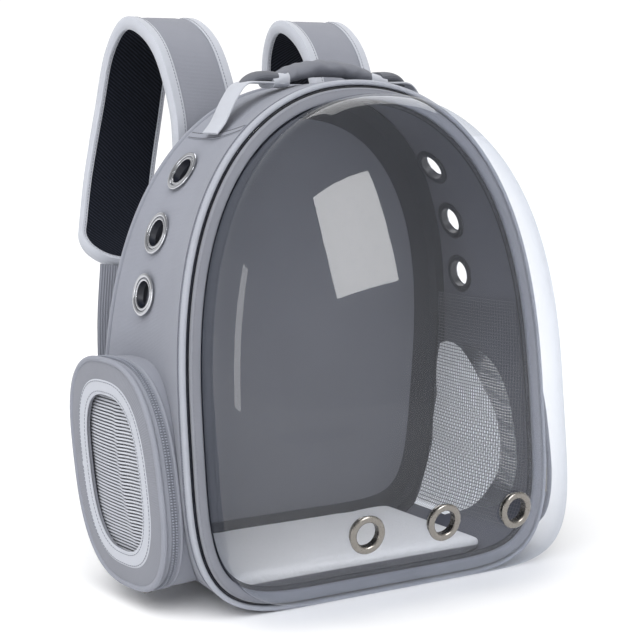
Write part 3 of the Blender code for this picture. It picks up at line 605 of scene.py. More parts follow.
def course_places(points, outs, pitch, closed=False, start=0.0):
    """Matrices at an even pitch along a row of points with their directions out."""
    if closed:
        points = points + [points[0]]
        outs = outs + [outs[0]]
    lengths = running_lengths(points)
    count = int((lengths[-1] - start) / pitch)
    places = []
    index = 0
    for step in range(count):
        target = start + pitch * (step + 0.5)
        while index < len(lengths) - 2 and lengths[index + 1] < target:
            index += 1
        part = (target - lengths[index]) / max(lengths[index + 1] - lengths[index], 1e-9)
        point = points[index].lerp(points[index + 1], part)
        out = outs[index].lerp(outs[index + 1], part)
        places.append(placed(point, points[index + 1] - points[index], out))
    return places


def stitches(name, bag, places):
    """A row of sewing stitches."""
    fittings = bag.fittings
    size = (fittings.stitch_pitch * 0.72, fittings.stitch_width, fittings.stitch_width * 0.8)
    return repeat(name, small_block(size, fittings.stitch_width * 0.25), places)


class Wire:
    """A shader socket that takes part in Python sums."""

    def __init__(self, tree, socket):
        self.tree = tree
        self.socket = socket

    def math(self, operation, *values):
        """A Math node on this socket and others."""
        made = self.tree.nodes.new("ShaderNodeMath")
        made.operation = operation
        for slot, value in zip(made.inputs, values):
            if isinstance(value, Wire):
                self.tree.links.new(value.socket, slot)
            else:
                slot.default_value = value
        return Wire(self.tree, made.outputs[0])

    def __add__(self, other):
        return self.math("ADD", self, other)

    def __radd__(self, other):
        return self.math("ADD", other, self)

    def __sub__(self, other):
        return self.math("SUBTRACT", self, other)

    def __rsub__(self, other):
        return self.math("SUBTRACT", other, self)

    def __mul__(self, other):
        return self.math("MULTIPLY", self, other)

    def __rmul__(self, other):
        return self.math("MULTIPLY", other, self)

    def __truediv__(self, other):
        return self.math("DIVIDE", self, other)

    def __pow__(self, other):
        return self.math("POWER", self, other)

    def wave(self, pitch):
        """A wave from 0 to 1 over a distance."""
        return (self * (2 * math.pi / pitch)).math("SINE", self * (2 * math.pi / pitch)) * 0.5 + 0.5

    def step(self, low, high):
        """0 below low, 1 above high and smooth between."""
        made = self.tree.nodes.new("ShaderNodeMapRange")
        made.interpolation_type = "SMOOTHSTEP"
        made.inputs["From Min"].default_value = low
        made.inputs["From Max"].default_value = high
        self.tree.links.new(self.socket, made.inputs["Value"])
        return Wire(self.tree, made.outputs["Result"])


class Paint:
    """A material that is put together node by node."""

    def __init__(self, name):
        self.material = bpy.data.materials.new(name)
        self.material.use_nodes = True
        self.tree = self.material.node_tree
        self.shader = self.tree.nodes["Principled BSDF"]

    def node(self, kind, settings=None, output=0, **values):
        """Any node: its settings first, then the values or links of its sockets by name."""
        made = self.tree.nodes.new(kind)
        for name, value in (settings or {}).items():
            setattr(made, name, value)
        for name, value in values.items():
            self.feed(made.inputs[name.replace("_", " ")], value)
        return Wire(self.tree, made.outputs[output])

    def feed(self, socket, value):
        """Link a wire to a socket, or set its value."""
        if isinstance(value, Wire):
            self.tree.links.new(value.socket, socket)
        elif socket.type == "RGBA":
            socket.default_value = (*tuple(value)[:3], 1.0)
        else:
            socket.default_value = value

    def surface(self, **values):
        """Feed the shader's own sockets."""
        for name, value in values.items():
            self.feed(self.shader.inputs[name.replace("_", " ")], value)

    def weave_axes(self):
        """Distances along and across the cloth, in metres, from the piece's UV map."""
        uv = self.node("ShaderNodeUVMap", {"uv_map": "UVMap"})
        split = self.tree.nodes.new("ShaderNodeSeparateXYZ")
        self.tree.links.new(uv.socket, split.inputs[0])
        return Wire(self.tree, split.outputs[0]), Wire(self.tree, split.outputs[1])

    def object_axes(self):
        """The piece's own X, Y and Z, in metres."""
        place = self.node("ShaderNodeTexCoord", output=3)
        split = self.tree.nodes.new("ShaderNodeSeparateXYZ")
        self.tree.links.new(place.socket, split.inputs[0])
        return [Wire(self.tree, socket) for socket in split.outputs]

    def cloud(self, scale, detail=3.0, roughness=0.5):
        """Noise on the piece's own coordinates."""
        settings = {"Scale": scale, "Detail": detail, "Roughness": roughness}
        return self.node("ShaderNodeTexNoise", Vector=self.node("ShaderNodeTexCoord", output=3), **settings)

    def blend(self, factor, first, second):
        """A colour between two."""
        made = self.tree.nodes.new("ShaderNodeMix")
        made.data_type = "RGBA"
        self.feed(made.inputs[0], factor)
        self.feed(made.inputs[6], first)
        self.feed(made.inputs[7], second)
        return Wire(self.tree, made.outputs[2])

    def let_light_through(self, tint, part):
        """Mix in thin cloth that glows when it is lit from behind."""
        glow = self.node("ShaderNodeBsdfTranslucent", Color=tint)
        own = Wire(self.tree, self.shader.outputs[0])
        self.show(self.mix(part, own, glow))

    def mix(self, part, first, second):
        """Two shaders mixed, with a part of the second."""
        mixed = self.node("ShaderNodeMixShader", Fac=part)
        self.feed(mixed.socket.node.inputs[1], first)
        self.feed(mixed.socket.node.inputs[2], second)
        return mixed

    def show(self, shader):
        """Make a shader the material's surface."""
        self.feed(self.tree.nodes["Material Output"].inputs["Surface"], shader)

    def bump(self, height, distance, strength=1.0):
        """A bump from a height between 0 and 1."""
        return self.node("ShaderNodeBump", Height=height, Distance=distance, Strength=strength)


def darker(base, factor):
    """A colour times a number."""
    return tuple(min(channel * factor, 1.0) for channel in base)


def woven_cloth(name, base, pitch=0.0011, rib=0.35, object_space=False, relief=0.9):
    """Plain woven polyester: warp and weft, slight unevenness and a soft surface."""
    paint = Paint(name)
    if object_space:
        along, _, across = paint.object_axes()
    else:
        along, across = paint.weave_axes()
    warp = along.wave(pitch)
    weft = across.wave(pitch * 0.8)
    fine = paint.cloud(900.0, 2.0)
    cloudy = paint.cloud(22.0, 4.0, 0.6)
    weave = warp * (1 - rib) + weft * rib
    height = weave * 0.75 + fine * 0.5
    shade = weave * 0.22 * relief + cloudy * 0.5 + fine * 0.3 * relief
    paint.surface(
        Base_Color=paint.blend(shade, darker(base, 0.84), darker(base, 1.2)),
        Roughness=0.78 + fine * 0.15,
        Normal=paint.bump(height, 0.00018, relief),
        Sheen_Weight=0.08,
        Sheen_Roughness=0.5,
        Specular_IOR_Level=0.3,
    )
    return paint.material


def taped(name, base):
    """Flat woven binding tape with fine cross ribs and pressed edges."""
    paint = Paint(name)
    along, across = paint.weave_axes()
    ribs = along.wave(0.0011)
    fine = paint.cloud(1200.0, 2.0)
    cloudy = paint.cloud(30.0, 3.0)
    paint.surface(
        Base_Color=paint.blend(ribs * 0.3 + cloudy * 0.7, darker(base, 0.90), darker(base, 1.08)),
        Roughness=0.72 + fine * 0.15,
        Normal=paint.bump(ribs * 0.6 + fine * 0.5 + across.wave(0.0009) * 0.2, 0.00015, 0.8),
        Sheen_Weight=0.2,
    )
    return paint.material


def ribbed_webbing(name, base):
    """Heavy webbing with ribs along its length."""
    paint = Paint(name)
    along, across = paint.weave_axes()
    ribs = across.wave(0.0024)
    chevron = (along + across).wave(0.0016)
    paint.surface(
        Base_Color=paint.blend(ribs * 0.7 + chevron * 0.3, darker(base, 0.72), darker(base, 1.12)),
        Roughness=0.8,
        Normal=paint.bump(ribs + chevron * 0.35, 0.0004, 0.9),
        Sheen_Weight=0.2,
    )
    return paint.material


def spacer_mesh(name, base):
    """Near-black spacer mesh with raised diagonal ribs and small pores."""
    paint = Paint(name)
    along, across = paint.weave_axes()
    ribs = (along + across * 0.62).wave(0.0034)
    pores = along.wave(0.0012) * across.wave(0.0012)
    raised = ribs.step(0.35, 0.75)
    paint.surface(
        Base_Color=paint.blend(raised * 0.8 + pores * 0.2, darker(base, 0.4), darker(base, 1.7)),
        Roughness=0.85 - raised * 0.15,
        Normal=paint.bump(raised + pores * 0.25, 0.0007, 0.9),
        Specular_IOR_Level=0.12,
    )
    return paint.material


def ribbed_net(name, base, pitch):
    """Window net: rounded light threads across with open slits between, and fine threads up, with painted
    shade at the threads' edges.
    """
    paint = Paint(name)
    _, across_y, up = paint.object_axes()
    thread = up.wave(pitch)
    posts = across_y.wave(0.0016)
    cover = thread.step(0.10, 0.22).math("MAXIMUM", thread.step(0.10, 0.22), posts.step(0.86, 0.94))
    # Painted shade: the threads' edges and the fine threads up are darkened almost to black, standing in
    # for the shade in the slits.
    threads_with_painted_shade = paint.blend(thread.step(0.28, 0.72), darker(base, 0.06), darker(base, 0.92))
    paint.surface(
        Base_Color=threads_with_painted_shade,
        Roughness=0.7,
        Alpha=cover,
        Normal=paint.bump(thread + posts * 0.2, 0.0006, 0.8),
    )
    paint.let_light_through((0.50, 0.51, 0.55), 0.12)
    return paint.material


def painted_glow_net(name, base):
    """White woven net whose emission is a painted glow, standing in for the daylight through the pocket."""
    paint = Paint(name)
    along, across = paint.weave_axes()
    slant = (along + across * 0.7).wave(0.0046)
    counter = (along - across * 0.7).wave(0.0046)
    knots = slant * counter
    cloudy = paint.cloud(24.0, 3.0)
    tone = knots.step(0.05, 0.55) * 0.75 + cloudy * 0.25
    paint.surface(
        Base_Color=paint.blend(tone, darker(base, 0.52), base),
        Roughness=0.8,
        # Painted glow: this emission stands in for the daylight that shines in from outside.
        Emission_Color=paint.blend(tone, darker(base, 0.35), base),
        Emission_Strength=0.40,
        Normal=paint.bump(knots, 0.0005, 0.6),
    )
    return paint.material


def square_net(name, base):
    """Dark net with square openings, on the wall's own coordinates."""
    paint = Paint(name)
    _, along, up = paint.object_axes()
    warp = along.wave(0.0030).step(0.93, 0.985)
    weft = up.wave(0.0030).step(0.93, 0.985)
    cover = warp.math("MAXIMUM", warp, weft)
    paint.surface(
        Base_Color=paint.blend(cover, darker(base, 0.6), darker(base, 1.2)),
        Roughness=0.75,
        Alpha=cover,
        Normal=paint.bump(cover, 0.0004, 0.8),
    )
    return paint.material


def plush(name, base, edge):
    """Short plush that lies in tufts, over a grey edge."""
    paint = Paint(name)
    _, _, up = paint.object_axes()
    tufts = paint.cloud(260.0, 6.0, 0.75)
    swirl = paint.cloud(35.0, 3.0, 0.6)
    top = up.step(MAT_EDGE_HEIGHT - 0.0008, MAT_EDGE_HEIGHT + 0.0008)
    pile = paint.blend(tufts * 0.6 + swirl * 0.5, darker(base, 0.80), darker(base, 1.05))
    paint.surface(
        Base_Color=paint.blend(top, edge, pile),
        Roughness=0.95,
        Normal=paint.bump(tufts + swirl * 0.5, 0.0022, 0.8),
        Sheen_Weight=0.4,
    )
    return paint.material


def metal(name, base, roughness):
    """Plated metal with faint scuffs."""
    paint = Paint(name)
    scuffs = paint.cloud(420.0, 5.0, 0.7)
    haze = paint.cloud(60.0, 3.0)
    paint.surface(
        Base_Color=paint.blend(haze, darker(base, 0.90), darker(base, 1.08)),
        Metallic=1.0,
        Roughness=roughness + scuffs * 0.10,
        Normal=paint.bump(scuffs, 0.00004, 0.5),
    )
    return paint.material


def moulded(name, base, roughness=0.45):
    """Moulded nylon with a slight grain."""
    paint = Paint(name)
    grain = paint.cloud(700.0, 3.0)
    paint.surface(
        Base_Color=paint.blend(grain, darker(base, 0.85), darker(base, 1.15)),
        Roughness=roughness + grain * 0.15,
        Normal=paint.bump(grain, 0.0001, 0.5),
    )
    return paint.material


def clear_inside(name):
    """The clear sheet's inner face, which lets the light through."""
    paint = Paint(name)
    haze = paint.cloud(9.0, 2.0, 0.4)
    paint.surface(Base_Color=(0.75, 0.78, 0.84), Roughness=0.25, Alpha=0.02 + haze * 0.02)
    return paint.material


def clear_sheet(name, tint):
    """Clear formed sheet: see-through face on, glossy and pale where it turns away."""
    paint = Paint(name)
    facing = paint.node("ShaderNodeLayerWeight", output=1, Blend=0.5)
    ripple = paint.cloud(7.0, 2.0, 0.4)
    edge = facing**4.5
    tinted = facing**1.6
    gloss = paint.node("ShaderNodeBsdfGlossy", Color=(1.0, 1.0, 1.0), Roughness=0.02,
                       Normal=paint.bump(ripple, 0.0012, 0.4))
    face_on = paint.node("ShaderNodeBsdfTransparent", Color=(0.965, 0.97, 0.985))
    turned = paint.node("ShaderNodeBsdfTransparent", Color=tint)
    through = paint.mix(tinted, face_on, turned)
    paint.tree.nodes.remove(paint.shader)
    paint.show(paint.mix(0.032 + edge * 0.5, through, gloss))
    return paint.material


FINISHES = {}


def finish(name):
    """A finish by name, made once from the colours in the panel."""
    if name in FINISHES:
        return FINISHES[name]
    colours = bpy.context.scene.carrier_colours
    fittings = bpy.context.scene.carrier_fittings
    makers = {
        "band cloth": (woven_cloth, {"base": colours.cloth}),
        "face cloth": (woven_cloth, {"base": colours.pocket_face, "pitch": 0.0018, "rib": 0.15}),
        "strap cloth": (woven_cloth, {"base": colours.strap_face, "pitch": 0.0013}),
        "pale cloth": (woven_cloth, {"base": colours.pale}),
        "back cloth": (woven_cloth, {"base": colours.cloth, "object_space": True}),
        "sleeve cloth": (woven_cloth, {"base": colours.sleeve}),
        # Painted shade: the flap is the sleeve's own cloth, darkened to 0.72.
        "flap cloth": (woven_cloth, {"base": darker(colours.sleeve, 0.72)}),
        "side lining": (woven_cloth, {"base": colours.lining, "relief": 0.12}),
        "back lining": (woven_cloth, {"base": colours.back_lining, "relief": 0.06}),
        "window lining": (painted_glow_net, {"base": colours.window_lining}),
        # The same near-black cloth is the painted shade in the door's groove and at the bubble's foot.
        "corner band": (woven_cloth, {"base": colours.corner, "relief": 0.05}),
        "tape": (taped, {"base": colours.tape}),
        "rim binding": (taped, {"base": colours.rim}),
        "webbing": (ribbed_webbing, {"base": colours.cloth}),
        "strap mesh": (spacer_mesh, {"base": colours.strap_mesh}),
        "window net": (ribbed_net, {"base": colours.net, "pitch": fittings.net_pitch}),
        "inner net": (square_net, {"base": colours.dark_net}),
        "plush": (plush, {"base": colours.plush, "edge": darker(colours.lining, 1.1)}),
        "chrome": (metal, {"base": colours.chrome, "roughness": 0.10}),
        "nickel": (metal, {"base": colours.nickel, "roughness": 0.22}),
        "zip teeth": (moulded, {"base": darker(colours.zip, 1.6)}),
        "zip tape": (woven_cloth, {"base": colours.zip}),
        "black washer": (moulded, {"base": colours.corner, "roughness": 0.35}),
        "thread": (moulded, {"base": darker(colours.cloth, 0.8), "roughness": 0.7}),
        "dark thread": (moulded, {"base": darker(colours.cloth, 0.30), "roughness": 0.7}),
        "clear inside": (clear_inside, {}),
        "clear sheet": (clear_sheet, {"tint": colours.clear}),
    }
    maker, settings = makers[name]
    FINISHES[name] = maker(name, **settings)
    return FINISHES[name]


class CarrierOperator(bpy.types.Operator):
    """What every piece's operator shares"""

    bl_options = {"REGISTER", "UNDO"}

    def execute(self, context):
        """Build the pieces and leave nothing selected."""
        self.build(Bag())
        deselect()
        return {"FINISHED"}


def eyelet_frames():
    """Name, centre, facing, lowest and highest place along it, and inner and outer radius of each eyelet,
    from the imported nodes."""
    places = []
    for side_name, side in SIDES:
        for index in range(1, 4):
            places.append((f"side_eyelet_{side_name}_{index}", side))
    for index in range(1, 4):
        places.append((f"bubble_eyelet_{index}", 0))
    found = []
    for name, side in places:
        points = [v.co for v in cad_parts[name].data.vertices]
        centre = sum(points, Vector()) / len(points)
        facing = turning_axis(points, centre)
        if facing.dot(Vector((side, 0, 0)) if side else Vector((0, -1, 0))) < 0:
            facing.negate()
        heights = [(p - centre).dot(facing) for p in points]
        radii = [(p - centre - facing * (p - centre).dot(facing)).length for p in points]
        found.append((name, centre, facing, min(heights), max(heights), min(radii), max(radii)))
    return found


def turning_axis(points, centre):
    """The direction in which a ring's points spread least."""
    from_centre = [point - centre for point in points]
    spread = [[sum(p[a] * p[b] for p in from_centre) for b in range(3)] for a in range(3)]
    guess = Vector((0.6, -0.7, 0.3))
    inverse = (Matrix(spread) + Matrix.Identity(3) * 1e-9).inverted()
    for _ in range(60):
        guess = (inverse @ guess).normalized()
    return guess


def turned_to(centre, facing):
    """A matrix at a centre whose Z axis faces out."""
    return Matrix.Translation(centre) @ facing.to_track_quat("Z", "Y").to_matrix().to_4x4()


def eyelet_tools(kind, vertices, depth):
    """A cylinder to cut the hole of each eyelet whose name starts with the kind."""
    tools = []
    for name, centre, facing, _, _, hole, _ in eyelet_frames():
        if name.startswith(kind):
            deselect()
            bpy.ops.mesh.primitive_cylinder_add(vertices=vertices, radius=hole + HOLE_PLAY, depth=depth)
            tool = bpy.context.object
            tool.matrix_world = turned_to(centre, facing)
            settle(tool)
            tools.append(tool)
    return tools


def cut(piece, tools):
    """Cut a piece with each tool, which is used up."""
    for tool in tools:
        apply_modifier(piece, "BOOLEAN", operation="DIFFERENCE", object=tool)
        bpy.data.objects.remove(tool)


class OBJECT_OT_carrier_band(CarrierOperator):
    """Build the cloth band with its lining, eyelet holes and side windows"""

    bl_idname = "object.carrier_band"
    bl_label = "Side band"

    def build(self, bag):
        body, count = bag.body, bag.fittings.arch_count
        levels = 30
        shares = [level / levels for level in range(levels + 1)]
        rings = []
        for inset, order in ((0.0, shares), (body.wall, shares[::-1])):
            for depth in order:
                rings.append(self.soften(bag.band_ring(depth, inset, count), depth))
        band = loft("band_cloth", rings)
        band.data.materials.append(finish("band cloth"))
        band.data.materials.append(finish("side lining"))
        cut(band, self.holes(bag))
        self.line_inside(bag, band)
        smooth(band)
        dress(band, finish("band cloth"), "cloth", "side_band")

    def soften(self, ring, depth):
        """Slight unevenness of stretched cloth, none at the sewn edges."""
        slack = CLOTH_UNEVENNESS * 4 * depth * (1 - depth)
        softened = []
        for point in ring:
            out = Vector((point.x, 0, point.z - 0.15)).normalized()
            softened.append(point + out * noise.noise(point * 14) * slack)
        return softened

    def holes(self, bag):
        """Cutting tools for the eyelets and the windows."""
        tools = eyelet_tools("side", 40, 0.05)
        fittings = bag.fittings
        size = (fittings.window_length, fittings.window_height)
        for side_name, side in SIDES:
            deep = -fittings.pocket_stand - bag.body.width / 8
            rings = [bag.pocket_ring(side, size, -0.009, out, 64) for out in (deep, 0.0)]
            tools.append(loft(f"window_tool_{side_name}", rings, closed_section=False))
        return tools

    def line_inside(self, bag, band):
        """Give the faces that look inwards the lining."""
        body = bag.body
        for face in band.data.polygons:
            height = face.center.z - bag.shift.z
            depth_room = bag.back_y(height) - bag.front_y(height)
            depth = (face.center.y - bag.shift.y - bag.front_y(height)) / depth_room
            middle = Vector((0.0, face.center.y, body.height * 0.4))
            inwards = (middle - face.center).normalized().dot(face.normal) > 0.1
            face.material_index = 1 if inwards and 0.0 < depth < 1.0 else 0


class OBJECT_OT_carrier_back(CarrierOperator):
    """Build the padded back, its piping, the back wall's lining and the dark corner band"""

    bl_idname = "object.carrier_back"
    bl_label = "Back"

    def build(self, bag):
        count = bag.fittings.arch_count
        panel = soft_copy("back_panel", "back_pad", 0.006, 4.0, 0.004)
        for vertex in panel.data.vertices:
            plane = bag.back_y(vertex.co.z - bag.shift.z) + bag.shift.y
            vertex.co.y = max(vertex.co.y, plane + 0.0004)
        dress(panel, finish("back cloth"), "cloth", "back_panel")
        radius = 0.0026
        section = [(radius * math.cos(a), radius * math.sin(a)) for a in circle_turns(10)]
        rings = [bag.back_ring(0.0008 + s, 0.003 + t, count) for s, t in section]
        dress(loft("back_piping", rings), finish("band cloth"), "cloth")
        corner = loft("corner_band", self.corner_rings(bag, count))
        dress(corner, finish("corner band"), "dark_cloth")
        inner = loft("back_wall_lining", self.wall_rings(bag, count), closed_section=False)
        dress(inner, finish("back lining"), "cloth")

    def wall_rings(self, bag, count):
        """The back wall's lining, from its edge to its middle, slack by a few millimetres."""
        edge = bag.back_ring(bag.body.wall + 0.0010, -0.0008, count)
        middle = Vector((0.0, 0.0, bag.body.height * 0.42 + bag.shift.z))
        rings = [bag.back_ring(bag.body.wall + 0.0010, -0.0002, count)]
        for step in range(24):
            scale = 1 - step / 23.5
            ring = []
            for point in edge:
                place = Vector((point.x * scale, 0.0, middle.z + (point.z - middle.z) * scale))
                fold = 0.0016 * noise.noise(place * 11) * min(1.0, 6 * (1 - scale))
                place.y = bag.back_y(place.z - bag.shift.z) + bag.shift.y - 0.0008 - abs(fold)
                ring.append(place)
            rings.append(ring)
        return rings

    def corner_rings(self, bag, count):
        """The band in the inner corner, wide at the sides and narrow at the top."""
        rings = []
        for inset, behind in CORNER_BAND_SECTION:
            rings.append(bag.back_ring(inset, behind, count))
        return rings


def circle_turns(count):
    """Evenly spaced turns of a circle."""
    return [2 * math.pi * index / count for index in range(count)]


def soft_copy(node, name, voxel, pressure, cap):
    """A padded piece: a copy of a node's solid, remeshed and swollen by a short cloth simulation."""
    deselect()
    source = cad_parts[node]
    mesh = source.data.copy()
    mesh.materials.clear()
    piece = bpy.data.objects.new(name, mesh)
    bpy.context.scene.collection.objects.link(piece)
    in_edit_mode(piece, (bpy.ops.mesh.remove_doubles, {"threshold": 1e-5}))
    apply_modifier(piece, "REMESH", mode="VOXEL", voxel_size=voxel, adaptivity=0.0)
    swell(piece, pressure, cap)
    apply_modifier(piece, "SUBSURF", levels=1, render_levels=1)
    smooth(piece, 60)
    return piece


def swell(piece, pressure, cap):
    """Blow a closed mesh up a little with cloth physics, moving no point further than the cap."""
    scene = bpy.context.scene
    rest = [vertex.co.copy() for vertex in piece.data.vertices]
    cloth = piece.modifiers.new("Cloth", "CLOTH")
    cloth.settings.use_pressure = True
    cloth.settings.uniform_pressure_force = pressure
    cloth.settings.effector_weights.gravity = 0.0
    cloth.settings.quality = 4
    cloth.settings.tension_stiffness = 15
    cloth.settings.bending_stiffness = 0.5
    for number in range(1, 21):
        scene.frame_set(number)
    evaluated = piece.evaluated_get(bpy.context.evaluated_depsgraph_get())
    moved = [vertex.co.copy() for vertex in evaluated.data.vertices]
    piece.modifiers.remove(cloth)
    for vertex, before, after in zip(piece.data.vertices, rest, moved):
        step = after - before
        if step.length > cap:
            step = step.normalized() * cap
        vertex.co = before + step
    scene.frame_set(1)


class OBJECT_OT_carrier_mat(CarrierOperator):
    """Build the plush floor mat"""

    bl_idname = "object.carrier_mat"
    bl_label = "Floor mat"

    def build(self, bag):
        mat = soft_copy("floor_mat", "plush_mat", 0.004, 3.0, 0.002)
        dress(mat, finish("plush"), "plush", "floor_mat")


class OBJECT_OT_carrier_door(CarrierOperator):
    """Build the door's zip, piped frame, binding and stitching"""

    bl_idname = "object.carrier_door"
    bl_label = "Door"

    def build(self, bag):
        body, fittings = bag.body, bag.fittings
        count = fittings.arch_count
        tape = self.round_rim(bag, "door_zip_tape", rounded(0.0008, 0.0030, SEWN_GAP, 0.0042, 10))
        dress(tape, finish("zip tape"), "zip", "door_zip")
        ring = bag.rim_ring(0.0010, 0.0018, count)
        inner = bag.rim_ring(0.0060, 0.0018, count)
        outs = [(a - b).normalized() for a, b in zip(ring, inner)]
        tooth = small_block((fittings.tooth_pitch * 0.62, 0.0016, 0.0014), 0.0003)
        places = course_places(ring, outs, fittings.tooth_pitch, closed=True)
        dress(repeat("door_zip_teeth", tooth, places), finish("zip teeth"), "zip")

        piping = self.round_rim(bag, "door_piping", rounded(-0.0006, 0.0038, 0.0030, 0.0092, 20, 2.6))
        dress(piping, finish("pale cloth"), "cloth", "door_frame")
        # Painted shade: a near-black strip on the groove's floor behind the piping stands in for the
        # groove's shadow.
        groove_shade = self.round_rim(bag, "door_groove_painted_shade", rounded(0.0026, 0.0078, 0.0030, 0.0068, 12, 3.0))
        dress(groove_shade, finish("corner band"), "zip")

        low = body.zip_depth + 2 * SEWN_GAP + body.shell + SEWN_GAP
        start, stop = 0.0060, body.frame_width + SEWN_GAP + body.binding_width - 0.0006
        section = rounded(start, stop, low - 0.0012, low + body.binding_depth + 0.0006, 22, 3.0)
        binding = self.round_rim(bag, "door_binding", section)
        dress(binding, finish("rim binding"), "binding", "bubble_binding")
        # Painted shade: a near-black ring at the bubble's foot, behind the binding, stands in for the
        # shadow along the zip.
        section = rounded(stop - 0.0010, stop + 0.0034, low - 0.0034, low - 0.0002, 12, 2.6)
        dress(self.round_rim(bag, "bubble_foot_painted_shade", section), finish("corner band"), "zip")
        seam = bag.rim_ring(start + 0.0016, low + body.binding_depth + 0.0005, count)
        outs = [Vector((0, -1, 0))] * count
        row = stitches("door_stitches", bag, course_places(seam, outs, fittings.stitch_pitch, closed=True))
        dress(row, finish("thread"), "binding")

    def round_rim(self, bag, name, section):
        """A strip of one section all round the rim."""
        count = bag.fittings.arch_count
        return loft(name, [bag.rim_ring(inset, forward, count) for inset, forward in section])


class OBJECT_OT_carrier_bubble(CarrierOperator):
    """Form the clear bubble with its flange and eyelet holes"""

    bl_idname = "object.carrier_bubble"
    bl_label = "Bubble"

    def build(self, bag):
        body, count = bag.body, bag.fittings.arch_count
        flange_back = body.zip_depth + 2 * SEWN_GAP
        front = flange_back + body.shell
        foot = body.frame_width + SEWN_GAP + body.binding_width + SEWN_GAP
        sweeps = [90 * (index / 34) ** 0.9 for index in range(35)]
        rings = [bag.bubble_ring(foot, front + body.neck, turn, count) for turn in reversed(sweeps)]
        rings.append(bag.rim_ring(foot, front, count))
        rings.append(bag.rim_ring(body.frame_width * 0.45, front, count))
        rings.append(bag.rim_ring(body.frame_width * 0.45, flange_back, count))
        rings.append(bag.rim_ring(foot + body.shell, flange_back, count))
        for turn in sweeps:
            rings.append(bag.bubble_ring(foot + body.shell, flange_back + body.neck, turn, count))
        bubble = loft("clear_bubble", rings, closed_section=False)
        cut(bubble, eyelet_tools("bubble", 32, 0.03))
        smooth(bubble, 50)
        bubble.data.materials.append(finish("clear sheet"))
        bubble.data.materials.append(finish("clear inside"))
        middle = Vector((0.0, bag.shift.y + 0.02, body.centre + bag.shift.z))
        for face in bubble.data.polygons:
            face.material_index = 1 if face.normal.dot(face.center - middle) < 0 else 0
        dress(bubble, finish("clear sheet"), "clear", "bubble")


class OBJECT_OT_carrier_eyelets(CarrierOperator):
    """Spin the metal eyelets and their inner washers"""

    bl_idname = "object.carrier_eyelets"
    bl_label = "Eyelets"

    def build(self, bag):
        for name, centre, facing, low, high, hole, radius in eyelet_frames():
            on_side = name.startswith("side")
            metal_name = "chrome" if on_side else "nickel"
            back_look, back_slot = ("black washer", "zip") if on_side else (metal_name, metal_name)
            front_side = turned_to(centre, facing)
            back_side = front_side @ Matrix.Rotation(math.pi, 4, "X")

            start = hole + (radius - hole) * (0.34 if on_side else 0.0)
            flange = self.rolled_ring(f"{name}_ring", start, radius, high, front_side)
            smooth(flange, 50)
            dress(flange, finish(metal_name), metal_name, name)
            top = high - (0.0004 if on_side else 0.0008)
            tube = self.neck(hole, low + 0.0012, top, front_side)
            dress(tube, finish(back_look), back_slot)
            if on_side:
                lip = self.rolled_ring(f"{name}_lip", hole * 0.93, hole * 1.12, high - 0.0006, front_side)
                dress(lip, finish(metal_name), metal_name)
            back = -low - (0.0012 if on_side else 0.0004)
            reach = radius * (0.98 if on_side else 0.86)
            washer = self.rolled_ring(f"{name}_washer", hole * 1.02, reach, back, back_side)
            dress(washer, finish(back_look), back_slot)

    def rolled_ring(self, name, hole, radius, height, place):
        """A flattened ring spun from a circle, then moved to its place."""
        deselect()
        middle, half = (hole + radius) / 2, (radius - hole) / 2
        bpy.ops.mesh.primitive_circle_add(vertices=20, radius=half, rotation=(math.pi / 2, 0, 0))
        ring = bpy.context.object
        ring.name = ring.data.name = name
        settle(ring)
        flatness = 0.55
        full_turn = {"steps": 56, "angle": 2 * math.pi, "center": (0, 0, 0), "axis": (0, 0, 1)}
        in_edit_mode(
            ring,
            (bpy.ops.transform.resize, {"value": (1.0, 1.0, flatness)}),
            (bpy.ops.transform.translate, {"value": (middle, 0.0, height - half * flatness)}),
            (bpy.ops.mesh.spin, full_turn),
            (bpy.ops.mesh.select_all, {"action": "SELECT"}),
            (bpy.ops.mesh.remove_doubles, {"threshold": 1e-6}),
            (bpy.ops.mesh.normals_make_consistent, {"inside": False}),
        )
        ring.matrix_world = place
        settle(ring)
        smooth(ring, 60)
        return ring

    def neck(self, hole, low, high, place):
        """The short tube that holds the ring and the washer together."""
        deselect()
        bpy.ops.mesh.primitive_cylinder_add(vertices=56, radius=hole, depth=high - low - 0.0015,
                                            end_fill_type="NOTHING", location=(0, 0, (high + low) / 2))
        tube = bpy.context.object
        settle(tube)
        apply_modifier(tube, "SOLIDIFY", thickness=0.0012, offset=1.0)
        tube.matrix_world = place
        settle(tube)
        smooth(tube, 50)
        return tube


